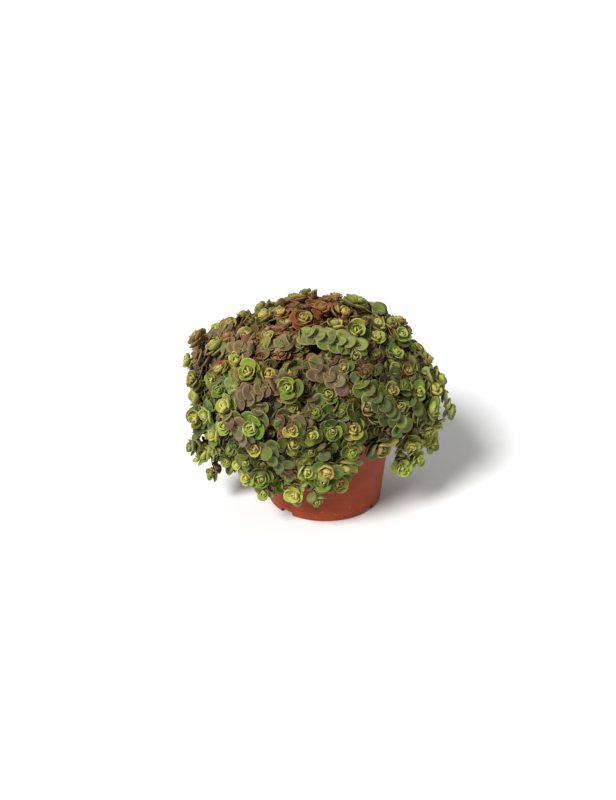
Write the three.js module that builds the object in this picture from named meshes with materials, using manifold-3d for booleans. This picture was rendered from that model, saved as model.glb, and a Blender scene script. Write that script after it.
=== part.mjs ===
// Potted coral reef sedum: a mound of creeping succulent shoots that spills over a 12 cm nursery pot.
// Millimetres, +Z up. The origin is the middle of the pot's underside, and the viewer stands at -Y.

import * as THREE from 'three';
import { mergeVertices } from 'three/addons/utils/BufferGeometryUtils.js';
import Module from 'manifold-3d';

const wasm = await Module();
wasm.setup();

// Pot
const POT_HEIGHT = 95;
const RIM_RADIUS = 60;
const RIM_BAND = 11;
const FOOT_RADIUS = 49;
const WALL = 1.5;
const POT_SIDES = 32;
const NOTCH_COUNT = 4;
const NOTCH_WIDTH = 12;
const NOTCH_HEIGHT = 4.5;
const NOTCH_DEPTH = 11;
const FIRST_NOTCH = 229;
const DRAIN_RADIUS = 3;

// Compost
const SOIL_TOP = 84;
const HOLE_DEPTH = 9;
const CLEARANCE = 0.3;

// The dome that the rosettes lie on. Its polar angle is 0 at the top, 90 at the widest level and
// DOME_SPAN at the hem. REACH and HEM give how far it reaches and how low it hangs at each azimuth.
const DOME_X = -7;
const DOME_LEAN = 6;
const DOME_EQUATOR = 106;
const DOME_RISE = 79;
const DOME_SPAN = 150;
const DOME_SHOULDER = 1.75;
const DOME_TUCK = 0.48;
const REACH = [[0, 101], [45, 100], [90, 98], [135, 103], [180, 106], [225, 104], [270, 92], [315, 93]];
const HEM = [
  [0, 56], [45, 50], [90, 48], [135, 46], [180, 40], [225, 46], [262, 52], [290, 68], [315, 78], [340, 66],
];

// Shoots
const MOUND_SHOOTS = 42;
const ROSETTES_A_SHOOT = 3;
const ROSETTE_SPACING = 27.5;
const ROSETTE_RADIUS = 16.5;
const ROSETTE_GAP = 0.35;
const LEAVES_A_WHORL = 4;
const LEAF_LEAN = 5.5;
const FINEST_EDGE = 0.02;
const FORK_DEPTH = 19;
const STEM_RADIUS = 1.4;
const TWIG_RADIUS = 1.2;
const TWIG_ROOT_RADIUS = 0.7;
const SKIRT_RADIUS = 26;
const SKIRT_BERTH = 5;
const LEAF_BERTH = 4.2;
const HEART_BERTH = 9.5;
const STEM_SPACING = 2 * STEM_RADIUS + 1.4;
const BASE_SPACING = 10;
const ROUNDS = 60;
const BASE_DISC = 50;
const SHORT_ROSETTE = 0.75;
const LONG_SHOOT_SKIRT = 0.7;
const DEPTH_SPREAD = [-4, 3];
const AXIS_RISE = 0.55;
const AXIS_WOBBLE = 0.22;

// Long shoots that hang below the hem or stand out of the dome: the azimuth, reach and height of the
// tip, and where the second rosette sits from it: how far in, how far up and how far round.
const LONG_SHOOTS = [
  { azimuth: 188, reach: 100, height: 146 },
  { azimuth: 262, reach: 78, height: 38 },
  { azimuth: 233, reach: 86, height: 44 },
  { azimuth: 190, reach: 98, height: 30 },
  { azimuth: 288, reach: 76, height: 54 },
  { azimuth: 326, reach: 90, height: 56 },
  { azimuth: 344, reach: 100, height: 62 },
  { azimuth: 22, reach: 95, height: 42 },
  { azimuth: 92, reach: 88, height: 36 },
  { azimuth: 140, reach: 96, height: 36 },
];
const SECOND_WHEN_HANGING = [-4, 19, 7];
const SECOND_WHEN_LEANING = [20, 6, 6];

const SEED = 8128;
const RAD = Math.PI / 180;
const TURN = 360;
const GOLDEN_ANGLE = 137.508;
const UP = new THREE.Vector3(0, 0, 1);

// A repeatable random draw between 0 and 1.
function makeDraw(seed) {
  let state = seed;
  return () => {
    state = (state * 16807) % 2147483647;
    return state / 2147483647;
  };
}
const draw = makeDraw(SEED);
const between = (low, high) => low + (high - low) * draw();

// Solids

function toSolid(geometry) {
  const bare = geometry.clone();
  bare.deleteAttribute('normal');
  bare.deleteAttribute('uv');
  const merged = mergeVertices(bare, 1e-4);
  const index = Array.from(merged.index.array);
  const corners = [];
  for (let i = 0; i < index.length; i += 3) {
    const [a, b, c] = index.slice(i, i + 3);
    if (a !== b && b !== c && c !== a) corners.push(a, b, c);
  }
  const mesh = new wasm.Mesh({
    numProp: 3,
    vertProperties: new Float32Array(merged.attributes.position.array),
    triVerts: new Uint32Array(corners),
  });
  return new wasm.Manifold(mesh);
}

function toGeometry(solid) {
  const mesh = solid.getMesh();
  const geometry = new THREE.BufferGeometry();
  geometry.setAttribute('position', new THREE.BufferAttribute(new Float32Array(mesh.vertProperties), 3));
  geometry.setIndex(new THREE.BufferAttribute(new Uint32Array(mesh.triVerts), 1));
  geometry.computeVertexNormals();
  return geometry;
}

function lathe(outline, sides) {
  const points = outline.map(([radius, height]) => new THREE.Vector2(radius, height));
  const geometry = new THREE.LatheGeometry(points, sides);
  geometry.rotateX(Math.PI / 2);
  return toSolid(geometry);
}

function block(width, depth, height, x, z, azimuth) {
  const geometry = new THREE.BoxGeometry(depth, width, height);
  geometry.translate(x, 0, z);
  geometry.rotateZ(azimuth * RAD);
  return toSolid(geometry);
}

function peg(radius, height, sides, x, y, z) {
  const geometry = new THREE.CylinderGeometry(radius, radius, height, sides);
  geometry.rotateX(Math.PI / 2);
  geometry.translate(x, y, z);
  return toSolid(geometry);
}

// Joins two rings of points, of any counts, with a band of triangles. Each ring runs anticlockwise
// as seen from the end of the loft, and each of its points has an angle in degrees.
function band(lower, upper, faces) {
  const near = (angle) => Math.abs(((angle - lower[0].angle + 1.5 * TURN) % TURN) - TURN / 2);
  const start = upper.reduce((best, { angle }, i) => (near(angle) < near(upper[best].angle) ? i : best), 0);
  const unwound = (ring, first) => Array.from({ length: ring.length + 1 }, (unused, i) => {
    const { at, angle } = ring[(first + i) % ring.length];
    const ahead = i === ring.length ? TURN : (((angle - ring[first].angle) % TURN) + TURN) % TURN;
    return { at, angle: ahead };
  });
  const below = unwound(lower, 0);
  const above = unwound(upper, start);
  let i = 0;
  let j = 0;
  while (i < lower.length || j < upper.length) {
    const aboveIsNext = i === lower.length || (j < upper.length && above[j + 1].angle < below[i + 1].angle);
    if (aboveIsNext) {
      if (upper.length > 1) faces.push(below[i].at, above[j + 1].at, above[j].at);
      j += 1;
    } else {
      if (lower.length > 1) faces.push(below[i].at, below[i + 1].at, above[j].at);
      i += 1;
    }
  }
}

// A closed body through rings, from a first ring that gets a flat cap to a last ring of one point.
function loft(rings) {
  const points = [];
  const numbered = rings.map((ring) => ring.map(({ point, angle }) => {
    points.push(point);
    return { at: points.length - 1, angle };
  }));
  const faces = [];
  const [first] = numbered;
  for (let i = 2; i < first.length; i++) faces.push(first[0].at, first[i].at, first[i - 1].at);
  for (let i = 1; i < numbered.length; i++) band(numbered[i - 1], numbered[i], faces);
  const geometry = new THREE.BufferGeometry().setFromPoints(points);
  geometry.setIndex(faces);
  return toSolid(geometry);
}

// Pot and compost

const wallRadius = (z) => FOOT_RADIUS + (RIM_RADIUS - 1.6 - FOOT_RADIUS) * (z / POT_HEIGHT);

const notchNumbers = Array.from({ length: NOTCH_COUNT }, (unused, number) => number);
const notchAzimuths = notchNumbers.map((number) => FIRST_NOTCH + (TURN * number) / NOTCH_COUNT);

function makePot() {
  const bandFoot = POT_HEIGHT - RIM_BAND;
  let pot = lathe([
    [0, 0],
    [FOOT_RADIUS - 1.2, 0],
    [FOOT_RADIUS, 1.2],
    [wallRadius(bandFoot), bandFoot],
    [RIM_RADIUS - 0.4, bandFoot + 0.8],
    [RIM_RADIUS, POT_HEIGHT - 0.8],
    [RIM_RADIUS - 0.8, POT_HEIGHT],
    [wallRadius(POT_HEIGHT) - WALL, POT_HEIGHT],
    [wallRadius(bandFoot) - WALL, bandFoot],
    [FOOT_RADIUS - WALL, WALL],
    [0, WALL],
  ], POT_SIDES);
  const inner = FOOT_RADIUS - NOTCH_DEPTH;
  const outer = FOOT_RADIUS + 1;
  for (const azimuth of notchAzimuths) {
    const house = block(NOTCH_WIDTH + 2 * WALL, NOTCH_DEPTH, NOTCH_HEIGHT + WALL,
      inner + NOTCH_DEPTH / 2 - WALL, (NOTCH_HEIGHT + WALL) / 2, azimuth);
    pot = pot.add(house);
  }
  for (const azimuth of notchAzimuths) {
    const slot = block(NOTCH_WIDTH, outer - inner, NOTCH_HEIGHT + 1,
      (inner + outer) / 2, (NOTCH_HEIGHT - 1) / 2, azimuth);
    const place = inner + NOTCH_DEPTH / 2 - WALL;
    const drain = peg(DRAIN_RADIUS, 4 * WALL, 8,
      place * Math.cos(azimuth * RAD), place * Math.sin(azimuth * RAD), NOTCH_HEIGHT + WALL / 2);
    pot = pot.subtract(slot).subtract(drain);
  }
  return pot;
}

function makeSoil(bases) {
  const floor = WALL + CLEARANCE;
  const inside = (z) => wallRadius(z) - WALL - 2 * CLEARANCE;
  const outline = [[0, floor], [inside(0) - 1, floor], [inside(SOIL_TOP), SOIL_TOP], [0, SOIL_TOP]];
  let soil = lathe(outline, POT_SIDES);
  for (const azimuth of notchAzimuths) {
    const width = NOTCH_WIDTH + 2 * WALL + 2 * CLEARANCE;
    const height = NOTCH_HEIGHT + WALL + CLEARANCE + 1;
    const inner = FOOT_RADIUS - NOTCH_DEPTH - WALL - CLEARANCE;
    const depth = NOTCH_DEPTH + 8;
    soil = soil.subtract(block(width, depth, height, inner + depth / 2, height / 2 - 1, azimuth));
  }
  const holes = bases.map((base) => peg(STEM_RADIUS + 2.5 * CLEARANCE, HOLE_DEPTH + 2, 4,
    base.x, base.y, SOIL_TOP - HOLE_DEPTH / 2 + 1));
  return soil.subtract(wasm.Manifold.union(holes));
}

// Dome

function around(table, azimuth) {
  const turn = ((azimuth % TURN) + TURN) % TURN;
  const closed = [...table, [table[0][0] + TURN, table[0][1]]];
  const last = closed.findIndex(([at]) => at > turn);
  const [from, low] = closed[last - 1];
  const [to, high] = closed[last];
  const share = (turn - from) / (to - from);
  return low + (high - low) * share * share * (3 - 2 * share);
}

function domePoint(polar, azimuth) {
  const tilt = polar * RAD;
  const reach = around(REACH, azimuth);
  const drop = (DOME_EQUATOR - around(HEM, azimuth)) / Math.abs(Math.cos(DOME_SPAN * RAD));
  const upper = polar < 90;
  const share = upper ? Math.sin(tilt) ** DOME_SHOULDER : 1 - DOME_TUCK * (1 - Math.sin(tilt));
  const height = (upper ? DOME_RISE : drop) * Math.cos(tilt);
  return new THREE.Vector3(
    DOME_X - DOME_LEAN * Math.max(0, Math.cos(tilt)) + reach * share * Math.cos(azimuth * RAD),
    reach * share * Math.sin(azimuth * RAD),
    DOME_EQUATOR + height);
}

// The two directions along the dome at a point, per degree, and the direction out of it.
function domeFrame(polar, azimuth) {
  const step = 0.5;
  const low = Math.max(polar, 2);
  const down = domePoint(low + step, azimuth).sub(domePoint(low - step, azimuth));
  const round = domePoint(low, azimuth + step).sub(domePoint(low, azimuth - step));
  const out = down.clone().cross(round).normalize();
  return { down, round, out };
}

// Rosette places: the golden angle spreads the shoots, then the rosettes push each other apart.

function plantLongShoot({ azimuth, reach, height }) {
  const side = azimuth * RAD;
  const hangs = height < POT_HEIGHT;
  const seconds = hangs ? SECOND_WHEN_HANGING : SECOND_WHEN_LEANING;
  const polar = hangs ? DOME_SPAN : 70;
  const rosettes = [[0, 0, 0], seconds].map(([back, rise, slide]) => {
    const place = new THREE.Vector3(
      DOME_X + (reach - back) * Math.cos(side) - slide * Math.sin(side),
      (reach - back) * Math.sin(side) + slide * Math.cos(side),
      height + rise);
    return { place, fixed: true, azimuth, polar };
  });
  return { long: true, rosettes };
}

function plantMoundShoot(number) {
  const share = (number + 0.5) / MOUND_SHOOTS;
  const polar = 105 * Math.sqrt(share) + (DOME_SPAN - 112) * share ** 3.2;
  const azimuth = (number * GOLDEN_ANGLE) % TURN;
  const { down, round } = domeFrame(polar, azimuth);
  const away = ROSETTE_SPACING / Math.sqrt(3);
  const turn = between(0, TURN);
  const rosettes = Array.from({ length: ROSETTES_A_SHOOT }, (unused, k) => {
    const angle = (turn + (TURN * k) / ROSETTES_A_SHOOT) * RAD;
    return {
      polar: polar + (away * Math.cos(angle)) / down.length(),
      azimuth: azimuth + (away * Math.sin(angle)) / Math.max(round.length(), 0.4),
    };
  });
  return { rosettes };
}

// A place pushed over the top of the dome comes down its other side.
function keepOnDome(rosette) {
  if (rosette.polar < 0) {
    rosette.polar = -rosette.polar;
    rosette.azimuth += TURN / 2;
  }
  rosette.polar = Math.min(rosette.polar, DOME_SPAN);
}

function spreadRosettes(shoots) {
  for (const shoot of shoots) {
    for (const rosette of shoot.rosettes) rosette.shoot = shoot;
  }
  const all = shoots.flatMap((shoot) => shoot.rosettes);
  all.filter((rosette) => !rosette.fixed).forEach(keepOnDome);
  for (let round = 0; round < ROUNDS; round++) {
    for (const rosette of all) {
      if (!rosette.fixed) rosette.place = domePoint(rosette.polar, rosette.azimuth);
    }
    for (const rosette of all) {
      if (rosette.fixed) continue;
      const push = new THREE.Vector3();
      for (const other of all) {
        if (other === rosette) continue;
        const way = rosette.place.clone().sub(other.place);
        const distance = Math.max(way.length(), 0.1);
        const kin = other.shoot === rosette.shoot;
        if (distance < ROSETTE_SPACING || kin) {
          push.addScaledVector(way, (ROSETTE_SPACING - distance) / distance * (kin ? 0.3 : 0.4));
        }
      }
      const frame = domeFrame(rosette.polar, rosette.azimuth);
      rosette.polar += push.dot(frame.down) / frame.down.lengthSq();
      rosette.azimuth += push.dot(frame.round) / Math.max(frame.round.lengthSq(), 0.1);
      keepOnDome(rosette);
    }
  }
  return all;
}

function poseRosettes(all) {
  for (const rosette of all) {
    const { out } = domeFrame(rosette.polar, rosette.azimuth);
    if (!rosette.fixed) rosette.place.addScaledVector(out, between(...DEPTH_SPREAD));
    rosette.out = out;
    rosette.axis = out.clone().addScaledVector(UP, AXIS_RISE);
    rosette.axis.x += between(-AXIS_WOBBLE, AXIS_WOBBLE);
    rosette.axis.y += between(-AXIS_WOBBLE, AXIS_WOBBLE);
    rosette.axis.normalize();
    rosette.radius = ROSETTE_RADIUS * between(0.9, 1.06) * (rosette.fixed ? SHORT_ROSETTE : 1);
    rosette.turn = between(0, TURN / LEAVES_A_WHORL);
  }
}

// Stems: from a hole in the compost, up and over the rim, to the fork under the shoot's rosettes.

function layStems(shoots) {
  const ranked = [...shoots].sort((a, b) => b.rosettes[0].place.z - a.rosettes[0].place.z);
  ranked.forEach((shoot, rank) => {
    const tips = shoot.rosettes;
    const middle = new THREE.Vector3();
    const out = new THREE.Vector3();
    for (const tip of tips) {
      middle.addScaledVector(tip.place, 1 / tips.length);
      out.addScaledVector(tip.out, 1 / tips.length);
    }
    out.normalize();
    shoot.fork = middle.clone().addScaledVector(out, -FORK_DEPTH);
    if (shoot.long) shoot.fork = tips[1].place.clone().addScaledVector(out, -13).addScaledVector(UP, 4);
    keepOffRim(shoot.fork);
    const azimuth = Math.atan2(middle.y, middle.x);
    shoot.side = azimuth;
    shoot.skirtAxis = out.clone().addScaledVector(UP, 0.4).normalize();
    const radius = BASE_DISC * Math.sqrt((rank + 0.5) / ranked.length);
    shoot.base = new THREE.Vector3(radius * Math.cos(azimuth), radius * Math.sin(azimuth), SOIL_TOP);
  });
  spreadBases(shoots.map((shoot) => shoot.base));
  for (const shoot of shoots) shoot.stem = stemPoints(shoot);
}

function keepOffRim(point) {
  const least = RIM_RADIUS + 2 + 2 * STEM_RADIUS;
  const far = Math.hypot(point.x, point.y);
  if (point.z > POT_HEIGHT + 5 || far > least) return;
  point.x *= least / far;
  point.y *= least / far;
}

function spreadBases(bases) {
  for (let round = 0; round < ROUNDS; round++) {
    for (const base of bases) {
      for (const other of bases) {
        const way = base.clone().sub(other);
        const distance = way.length();
        if (other === base || distance > BASE_SPACING) continue;
        base.addScaledVector(way, 0.4 * (BASE_SPACING - distance) / Math.max(distance, 0.1));
      }
      const far = Math.hypot(base.x, base.y);
      if (far > BASE_DISC) {
        base.x *= BASE_DISC / far;
        base.y *= BASE_DISC / far;
      }
    }
  }
}

function stemPoints(shoot) {
  const { base, fork } = shoot;
  const spread = Math.hypot(fork.x - base.x, fork.y - base.y);
  const hang = Math.max(0, Math.min(1, (POT_HEIGHT + 30 - fork.z) / 50));
  const rise = 0.45 * (fork.z - base.z) * (1 - hang) + (22 + 0.25 * spread) * hang;
  const lift = new THREE.Vector3(0, 0, Math.max(rise, 14));
  const first = base.clone().add(lift);
  const second = fork.clone().lerp(base, 0.3 * (1 - hang));
  const inwards = 1 - hang * (1 - Math.min(1, (RIM_RADIUS + 6) / Math.hypot(fork.x, fork.y)));
  second.x *= inwards;
  second.y *= inwards;
  second.z = first.z * hang + (fork.z - 0.25 * (fork.z - base.z)) * (1 - hang);
  const curve = new THREE.CubicBezierCurve3(base, first, second, fork);
  const foot = base.clone().addScaledVector(UP, CLEARANCE - HOLE_DEPTH);
  const collar = base.clone().addScaledVector(UP, 4);
  return [foot, collar, ...curve.getSpacedPoints(5).slice(1)];
}

// Bend the stems clear of each other, of the rim and of other shoots' rosettes.

function closest(a, b, c, d) {
  const u = b.clone().sub(a);
  const v = d.clone().sub(c);
  const w = a.clone().sub(c);
  const uu = u.lengthSq();
  const vv = v.lengthSq();
  const uv = u.dot(v);
  const det = Math.max(uu * vv - uv * uv, 1e-9);
  const clamp = THREE.MathUtils.clamp;
  let s = clamp((uv * v.dot(w) - vv * u.dot(w)) / det, 0, 1);
  const t = clamp((uv * s + v.dot(w)) / Math.max(vv, 1e-9), 0, 1);
  s = clamp((uv * t - u.dot(w)) / Math.max(uu, 1e-9), 0, 1);
  const way = a.clone().addScaledVector(u, s).sub(c.clone().addScaledVector(v, t));
  return { s, t, way, distance: way.length() };
}

function shove(points, segment, share, way) {
  const fixedStart = 2;
  const fixedEnd = points.length - 1;
  for (const [at, part] of [[segment, 1 - share], [segment + 1, share]]) {
    if (at >= fixedStart && at < fixedEnd) points[at].addScaledVector(way, 0.4 + 0.6 * part);
  }
}

function bendClear(shoots, all) {
  for (let round = 0; round < 80; round++) {
    for (const shoot of shoots) {
      for (let i = 1; i < shoot.stem.length - 1; i++) {
        bendOffStems(shoot, i, shoots);
        bendOffHearts(shoot, i, all);
      }
      passRim(shoot.stem);
    }
  }
}

function bendOffStems(shoot, i, shoots) {
  const path = shoot.stem;
  for (const other of shoots) {
    if (other === shoot) continue;
    const twigs = other.rosettes.map((tip) => [other.fork, tip.place]);
    for (const [from, to] of [...segments(other.stem), ...twigs]) {
      const near = closest(path[i], path[i + 1], from, to);
      if (near.distance > STEM_SPACING) continue;
      const side = near.distance > 0.05 ? near.way.normalize() : UP.clone();
      shove(path, i, near.s, side.multiplyScalar(0.5 * (STEM_SPACING - near.distance)));
    }
  }
}

function bendOffHearts(shoot, i, all) {
  const path = shoot.stem;
  for (const tip of all) {
    if (tip.shoot === shoot) continue;
    const heart = tip.place.clone().addScaledVector(tip.axis, 2);
    const near = closest(path[i], path[i + 1], heart, heart.clone().addScaledVector(tip.axis, 0.1));
    const lack = HEART_BERTH - near.distance;
    if (lack > 0) shove(path, i, near.s, near.way.normalize().multiplyScalar(lack));
  }
}

// Lifts a stem over the pot's rim where it crosses it, and keeps it off the wall where it hangs.
function passRim(path) {
  const least = RIM_RADIUS + STEM_RADIUS + 2;
  const top = POT_HEIGHT + STEM_RADIUS + 1.5;
  const out = (point) => Math.hypot(point.x, point.y);
  for (let i = 2; i < path.length; i++) {
    const point = path[i];
    const before = path[i - 1];
    if (out(before) < RIM_RADIUS && out(point) > RIM_RADIUS) {
      const share = (RIM_RADIUS - out(before)) / (out(point) - out(before));
      const lack = top - (before.z + (point.z - before.z) * share);
      if (lack > 0) {
        if (i < path.length - 1) point.z += lack;
        if (i > 2) before.z += lack;
      }
    }
    if (out(point) > RIM_RADIUS - 6 && out(point) < least && point.z < top && i < path.length - 1) {
      const scale = least / out(point);
      point.x *= scale;
      point.y *= scale;
    }
  }
}

// Leaves: every ring of a shoot is turned from the same level direction, so that the lofts don't twist.

function frameAlong(direction, level) {
  const side = level.clone().addScaledVector(direction, -level.dot(direction)).normalize();
  return { side, front: direction.clone().cross(side) };
}

function ringPoint(centre, axis, level, angle, share, height) {
  const { side, front } = frameAlong(axis, level);
  return centre.clone()
    .addScaledVector(side, share * Math.cos(angle * RAD))
    .addScaledVector(front, share * Math.sin(angle * RAD))
    .addScaledVector(axis, height);
}

function stemRing(centre, direction, level, radius) {
  return [0, 120, 240].map((angle) => {
    return { angle, point: ringPoint(centre, direction, level, angle, radius, 0) };
  });
}

// A point of a leaf, drawn back towards the stem until it is clear of everything else.
function leafPoint(centre, axis, level, angle, share, height, isClear) {
  const wanted = ringPoint(centre, axis, level, angle, share, height);
  const steps = 24;
  for (let step = steps; step > 5; step--) {
    const point = centre.clone().lerp(wanted, step / steps);
    if (isClear(point)) return { angle, point };
  }
  return { angle, point: centre.clone().lerp(wanted, 5 / steps) };
}

// The rings of a whorl of leaves: for each leaf the valley before it, two shoulders and, if wanted, a tip.
function whorl(centre, axis, level, turn, radius, leaf, isClear) {
  const step = TURN / LEAVES_A_WHORL;
  const ring = [];
  for (let k = 0; k < LEAVES_A_WHORL; k++) {
    const middle = turn + step * k;
    const lean = between(-LEAF_LEAN, LEAF_LEAN);
    const length = radius * between(0.92, 1.08);
    const lift = radius * (leaf.lift + between(-leaf.lively, leaf.lively));
    const add = (angle, share, height) => {
      ring.push(leafPoint(centre, axis, level, angle, share, height, isClear));
    };
    add(middle - step / 2, leaf.valley * radius, leaf.valleyLift * radius);
    add(middle + lean - leaf.half, 0.88 * length, lift);
    if (leaf.tip) add(middle + lean, length, lift + leaf.tip * radius);
    add(middle + lean + leaf.half, 0.88 * length, lift);
  }
  return ring;
}

function rosetteRings(rosette, level, isClear) {
  const { place, axis, radius, turn } = rosette;
  const step = TURN / LEAVES_A_WHORL;
  const leaf = { valley: 0.5, valleyLift: 0.04, half: 32, lift: 0.2, lively: 0.12, tip: -0.04 };
  const outer = whorl(place, axis, level, turn, radius, leaf, isClear);
  const waist = [];
  const inner = [];
  for (let k = 0; k < LEAVES_A_WHORL; k++) {
    const angle = turn + step * (k - 0.5);
    const point = (share, height, shift) => ({
      angle: angle + shift,
      point: ringPoint(place, axis, level, angle + shift, share * radius, height * radius),
    });
    waist.push(point(0.24, 0, 0));
    inner.push(point(0.5, between(0.46, 0.58), 0));
    inner.push(point(0.26, 0.3, step / 2));
  }
  const heart = [{ angle: 0, point: place.clone().addScaledVector(axis, 0.16 * radius) }];
  return [outer, waist, inner, heart];
}

function distanceToLine(point, from, to) {
  const line = new THREE.Line3(from, to);
  return line.closestPointToPoint(point, true, new THREE.Vector3()).distanceTo(point);
}

const inPot = (point) => point.z < POT_HEIGHT + 1 && Math.hypot(point.x, point.y) < RIM_RADIUS + 1;

// Whether a point keeps away from the pot, from other shoots' stems and from its neighbours' cells.
function clearOf(centre, others, lines, berth) {
  const planes = others.filter((other) => other.distanceTo(centre) < 60).map((other) => {
    const way = other.clone().sub(centre);
    return { way: way.clone().normalize(), room: way.length() / 2 - ROSETTE_GAP };
  });
  const nearby = lines.filter(([from, to]) => distanceToLine(centre, from, to) < 30);
  return (point) => !inPot(point)
    && planes.every(({ way, room }) => point.clone().sub(centre).dot(way) < room)
    && nearby.every(([from, to]) => distanceToLine(point, from, to) > berth);
}

function segments(points) {
  return points.slice(1).map((point, i) => [points[i], point]);
}

function twigPath(shoot, rosette) {
  const { place, axis, radius } = rosette;
  const root = place.clone().addScaledVector(axis, -0.42 * radius);
  return [shoot.fork.clone(), root];
}

// The stem's rings, then the skirt of large leaves round the fork.
function stemAndSkirt(shoot, level, isClear) {
  const path = shoot.stem;
  const fork = path.at(-1);
  const rings = path.map((point, i) => {
    const before = path[Math.max(i - 1, 0)];
    const after = path[i + 1] ?? twigPath(shoot, shoot.rosettes[0])[1];
    return stemRing(point, after.clone().sub(before).normalize(), level, STEM_RADIUS);
  });
  const radius = shoot.long ? LONG_SHOOT_SKIRT * SKIRT_RADIUS : SKIRT_RADIUS;
  const leaf = { valley: 0.3, valleyLift: 0.12, half: 20, lift: 0.25, lively: 0.06, tip: 0 };
  rings.push(whorl(fork, shoot.skirtAxis, level, between(0, 90), radius, leaf, isClear));
  const collar = fork.clone().addScaledVector(shoot.skirtAxis, 2.6);
  rings.push(stemRing(collar, shoot.skirtAxis, level, STEM_RADIUS));
  return rings;
}

// A shoot is the loft of its stem, skirt and first rosette, fused with a loft for each other rosette.
function makeShoot(shoot, all, shoots) {
  const level = new THREE.Vector3(-Math.sin(shoot.side), Math.cos(shoot.side), 0);
  const foreignStems = shoots.filter((other) => other !== shoot).flatMap((other) => [
    ...segments(other.stem),
    ...other.rosettes.flatMap((rosette) => segments(twigPath(other, rosette))),
  ]);
  const foreign = all.filter((rosette) => rosette.shoot !== shoot);
  const nearest = (point, list) => Math.min(...list.map((rosette) => rosette.place.distanceTo(point)));
  const clearOfStems = clearOf(shoot.fork, [], foreignStems, SKIRT_BERTH);
  const skirtIsClear = (point) => clearOfStems(point)
    && nearest(point, shoot.rosettes) < nearest(point, foreign) - 2 * ROSETTE_GAP;

  const stem = stemAndSkirt(shoot, level, skirtIsClear);
  const lofts = shoot.rosettes.map((rosette, number) => {
    const neighbours = all.filter((other) => other !== rosette).map((other) => other.place);
    const isClear = clearOf(rosette.place, neighbours, foreignStems, LEAF_BERTH);
    const [start, root] = twigPath(shoot, rosette);
    const way = root.clone().sub(start).normalize();
    const foot = stemRing(start.addScaledVector(shoot.skirtAxis, 1.3), way, level, TWIG_ROOT_RADIUS);
    const top = stemRing(root, rosette.axis, level, TWIG_RADIUS);
    const below = number === 0 ? stem : [foot];
    return loft([...below, top, ...rosetteRings(rosette, level, isClear)]);
  });
  const bodies = wasm.Manifold.union(lofts).simplify(FINEST_EDGE).decompose();
  return bodies.reduce((largest, body) => (body.volume() > largest.volume() ? body : largest));
}

// Assembly

const longShoots = LONG_SHOOTS.map(plantLongShoot);
const moundShoots = Array.from({ length: MOUND_SHOOTS }, (unused, number) => plantMoundShoot(number));
const shoots = [...longShoots, ...moundShoots];
const rosettes = spreadRosettes(shoots);
poseRosettes(rosettes);
layStems(shoots);
bendClear(shoots, rosettes);

const plant = new THREE.Group();

function addPiece(name, solid, color, roughness) {
  const material = new THREE.MeshStandardMaterial({ color, roughness, metalness: 0 });
  const mesh = new THREE.Mesh(toGeometry(solid), material);
  mesh.name = name;
  plant.add(mesh);
}

addPiece('pot', makePot(), 0x9c5a3e, 0.55);
addPiece('soil', makeSoil(shoots.map((shoot) => shoot.base)), 0x3b2a1e, 0.95);

const BRONZE = new THREE.Color(0x8a5a42);
const GREEN = new THREE.Color(0x6f8440);
shoots.forEach((shoot, number) => {
  const height = (shoot.rosettes[0].place.z - 40) / 130;
  const bronze = THREE.MathUtils.clamp(height * height + between(-0.2, 0.2), 0, 1);
  const color = GREEN.clone().lerp(BRONZE, bronze);
  const name = `shoot_${String(number + 1).padStart(2, '0')}`;
  addPiece(name, makeShoot(shoot, rosettes, shoots), color, 0.6);
});

export default plant;
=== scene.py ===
# %% [markdown]
# # A potted coral reef sedum
# A mound of creeping succulent shoots spills over a small terracotta-coloured plastic pot. The packed
# model holds the pot, the compost and the shoots as plain solids in their true places. This script
# loads that model, grows a finer piece in the place of each solid, paints the pieces and lights them.

# %% Load the plain model
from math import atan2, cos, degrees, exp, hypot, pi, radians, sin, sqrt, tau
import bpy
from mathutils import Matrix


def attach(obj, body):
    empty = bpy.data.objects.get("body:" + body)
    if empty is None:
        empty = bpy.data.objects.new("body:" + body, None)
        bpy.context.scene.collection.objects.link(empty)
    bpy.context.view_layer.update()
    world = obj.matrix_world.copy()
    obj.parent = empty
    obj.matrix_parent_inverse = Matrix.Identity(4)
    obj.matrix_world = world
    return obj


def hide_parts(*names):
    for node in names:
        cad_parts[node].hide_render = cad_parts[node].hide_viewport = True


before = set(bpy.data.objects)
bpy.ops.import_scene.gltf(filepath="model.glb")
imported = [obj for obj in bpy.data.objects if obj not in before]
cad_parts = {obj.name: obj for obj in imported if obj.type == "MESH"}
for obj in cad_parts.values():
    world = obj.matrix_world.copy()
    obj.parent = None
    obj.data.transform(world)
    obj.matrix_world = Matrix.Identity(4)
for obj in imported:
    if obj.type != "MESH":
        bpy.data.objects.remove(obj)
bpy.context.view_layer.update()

# %% The rest of what is imported
from types import SimpleNamespace as Record

import bmesh
import bpy
import numpy as np
from mathutils import Matrix, Vector, noise

MM = 0.001
UP = Vector((0, 0, 1))


def add_object(name, data):
    """Puts a mesh, a lamp or a camera into the scene."""
    made = bpy.data.objects.new(name, data)
    bpy.context.scene.collection.objects.link(made)
    return made


print("nodes in the frame:", len(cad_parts))

# %% [markdown]
# ## The camera
# The ellipses of the pot's rim and foot say how high the viewer stands: about 26 degrees above the
# table, 90 cm away. The picture is upright, so the sensor's 36 mm lie along its height.

# %% Place the camera
VIEW_RISE = radians(26)
VIEW_DISTANCE = 0.9
VIEW_TARGET = Vector((-0.0143, 0, 0.0897))
VIEW_BACK = Vector((0, -cos(VIEW_RISE), sin(VIEW_RISE)))
VIEW_LENS = 48.15
SENSOR_LENGTH = 36
VIEW_LIMIT = 100

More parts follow.
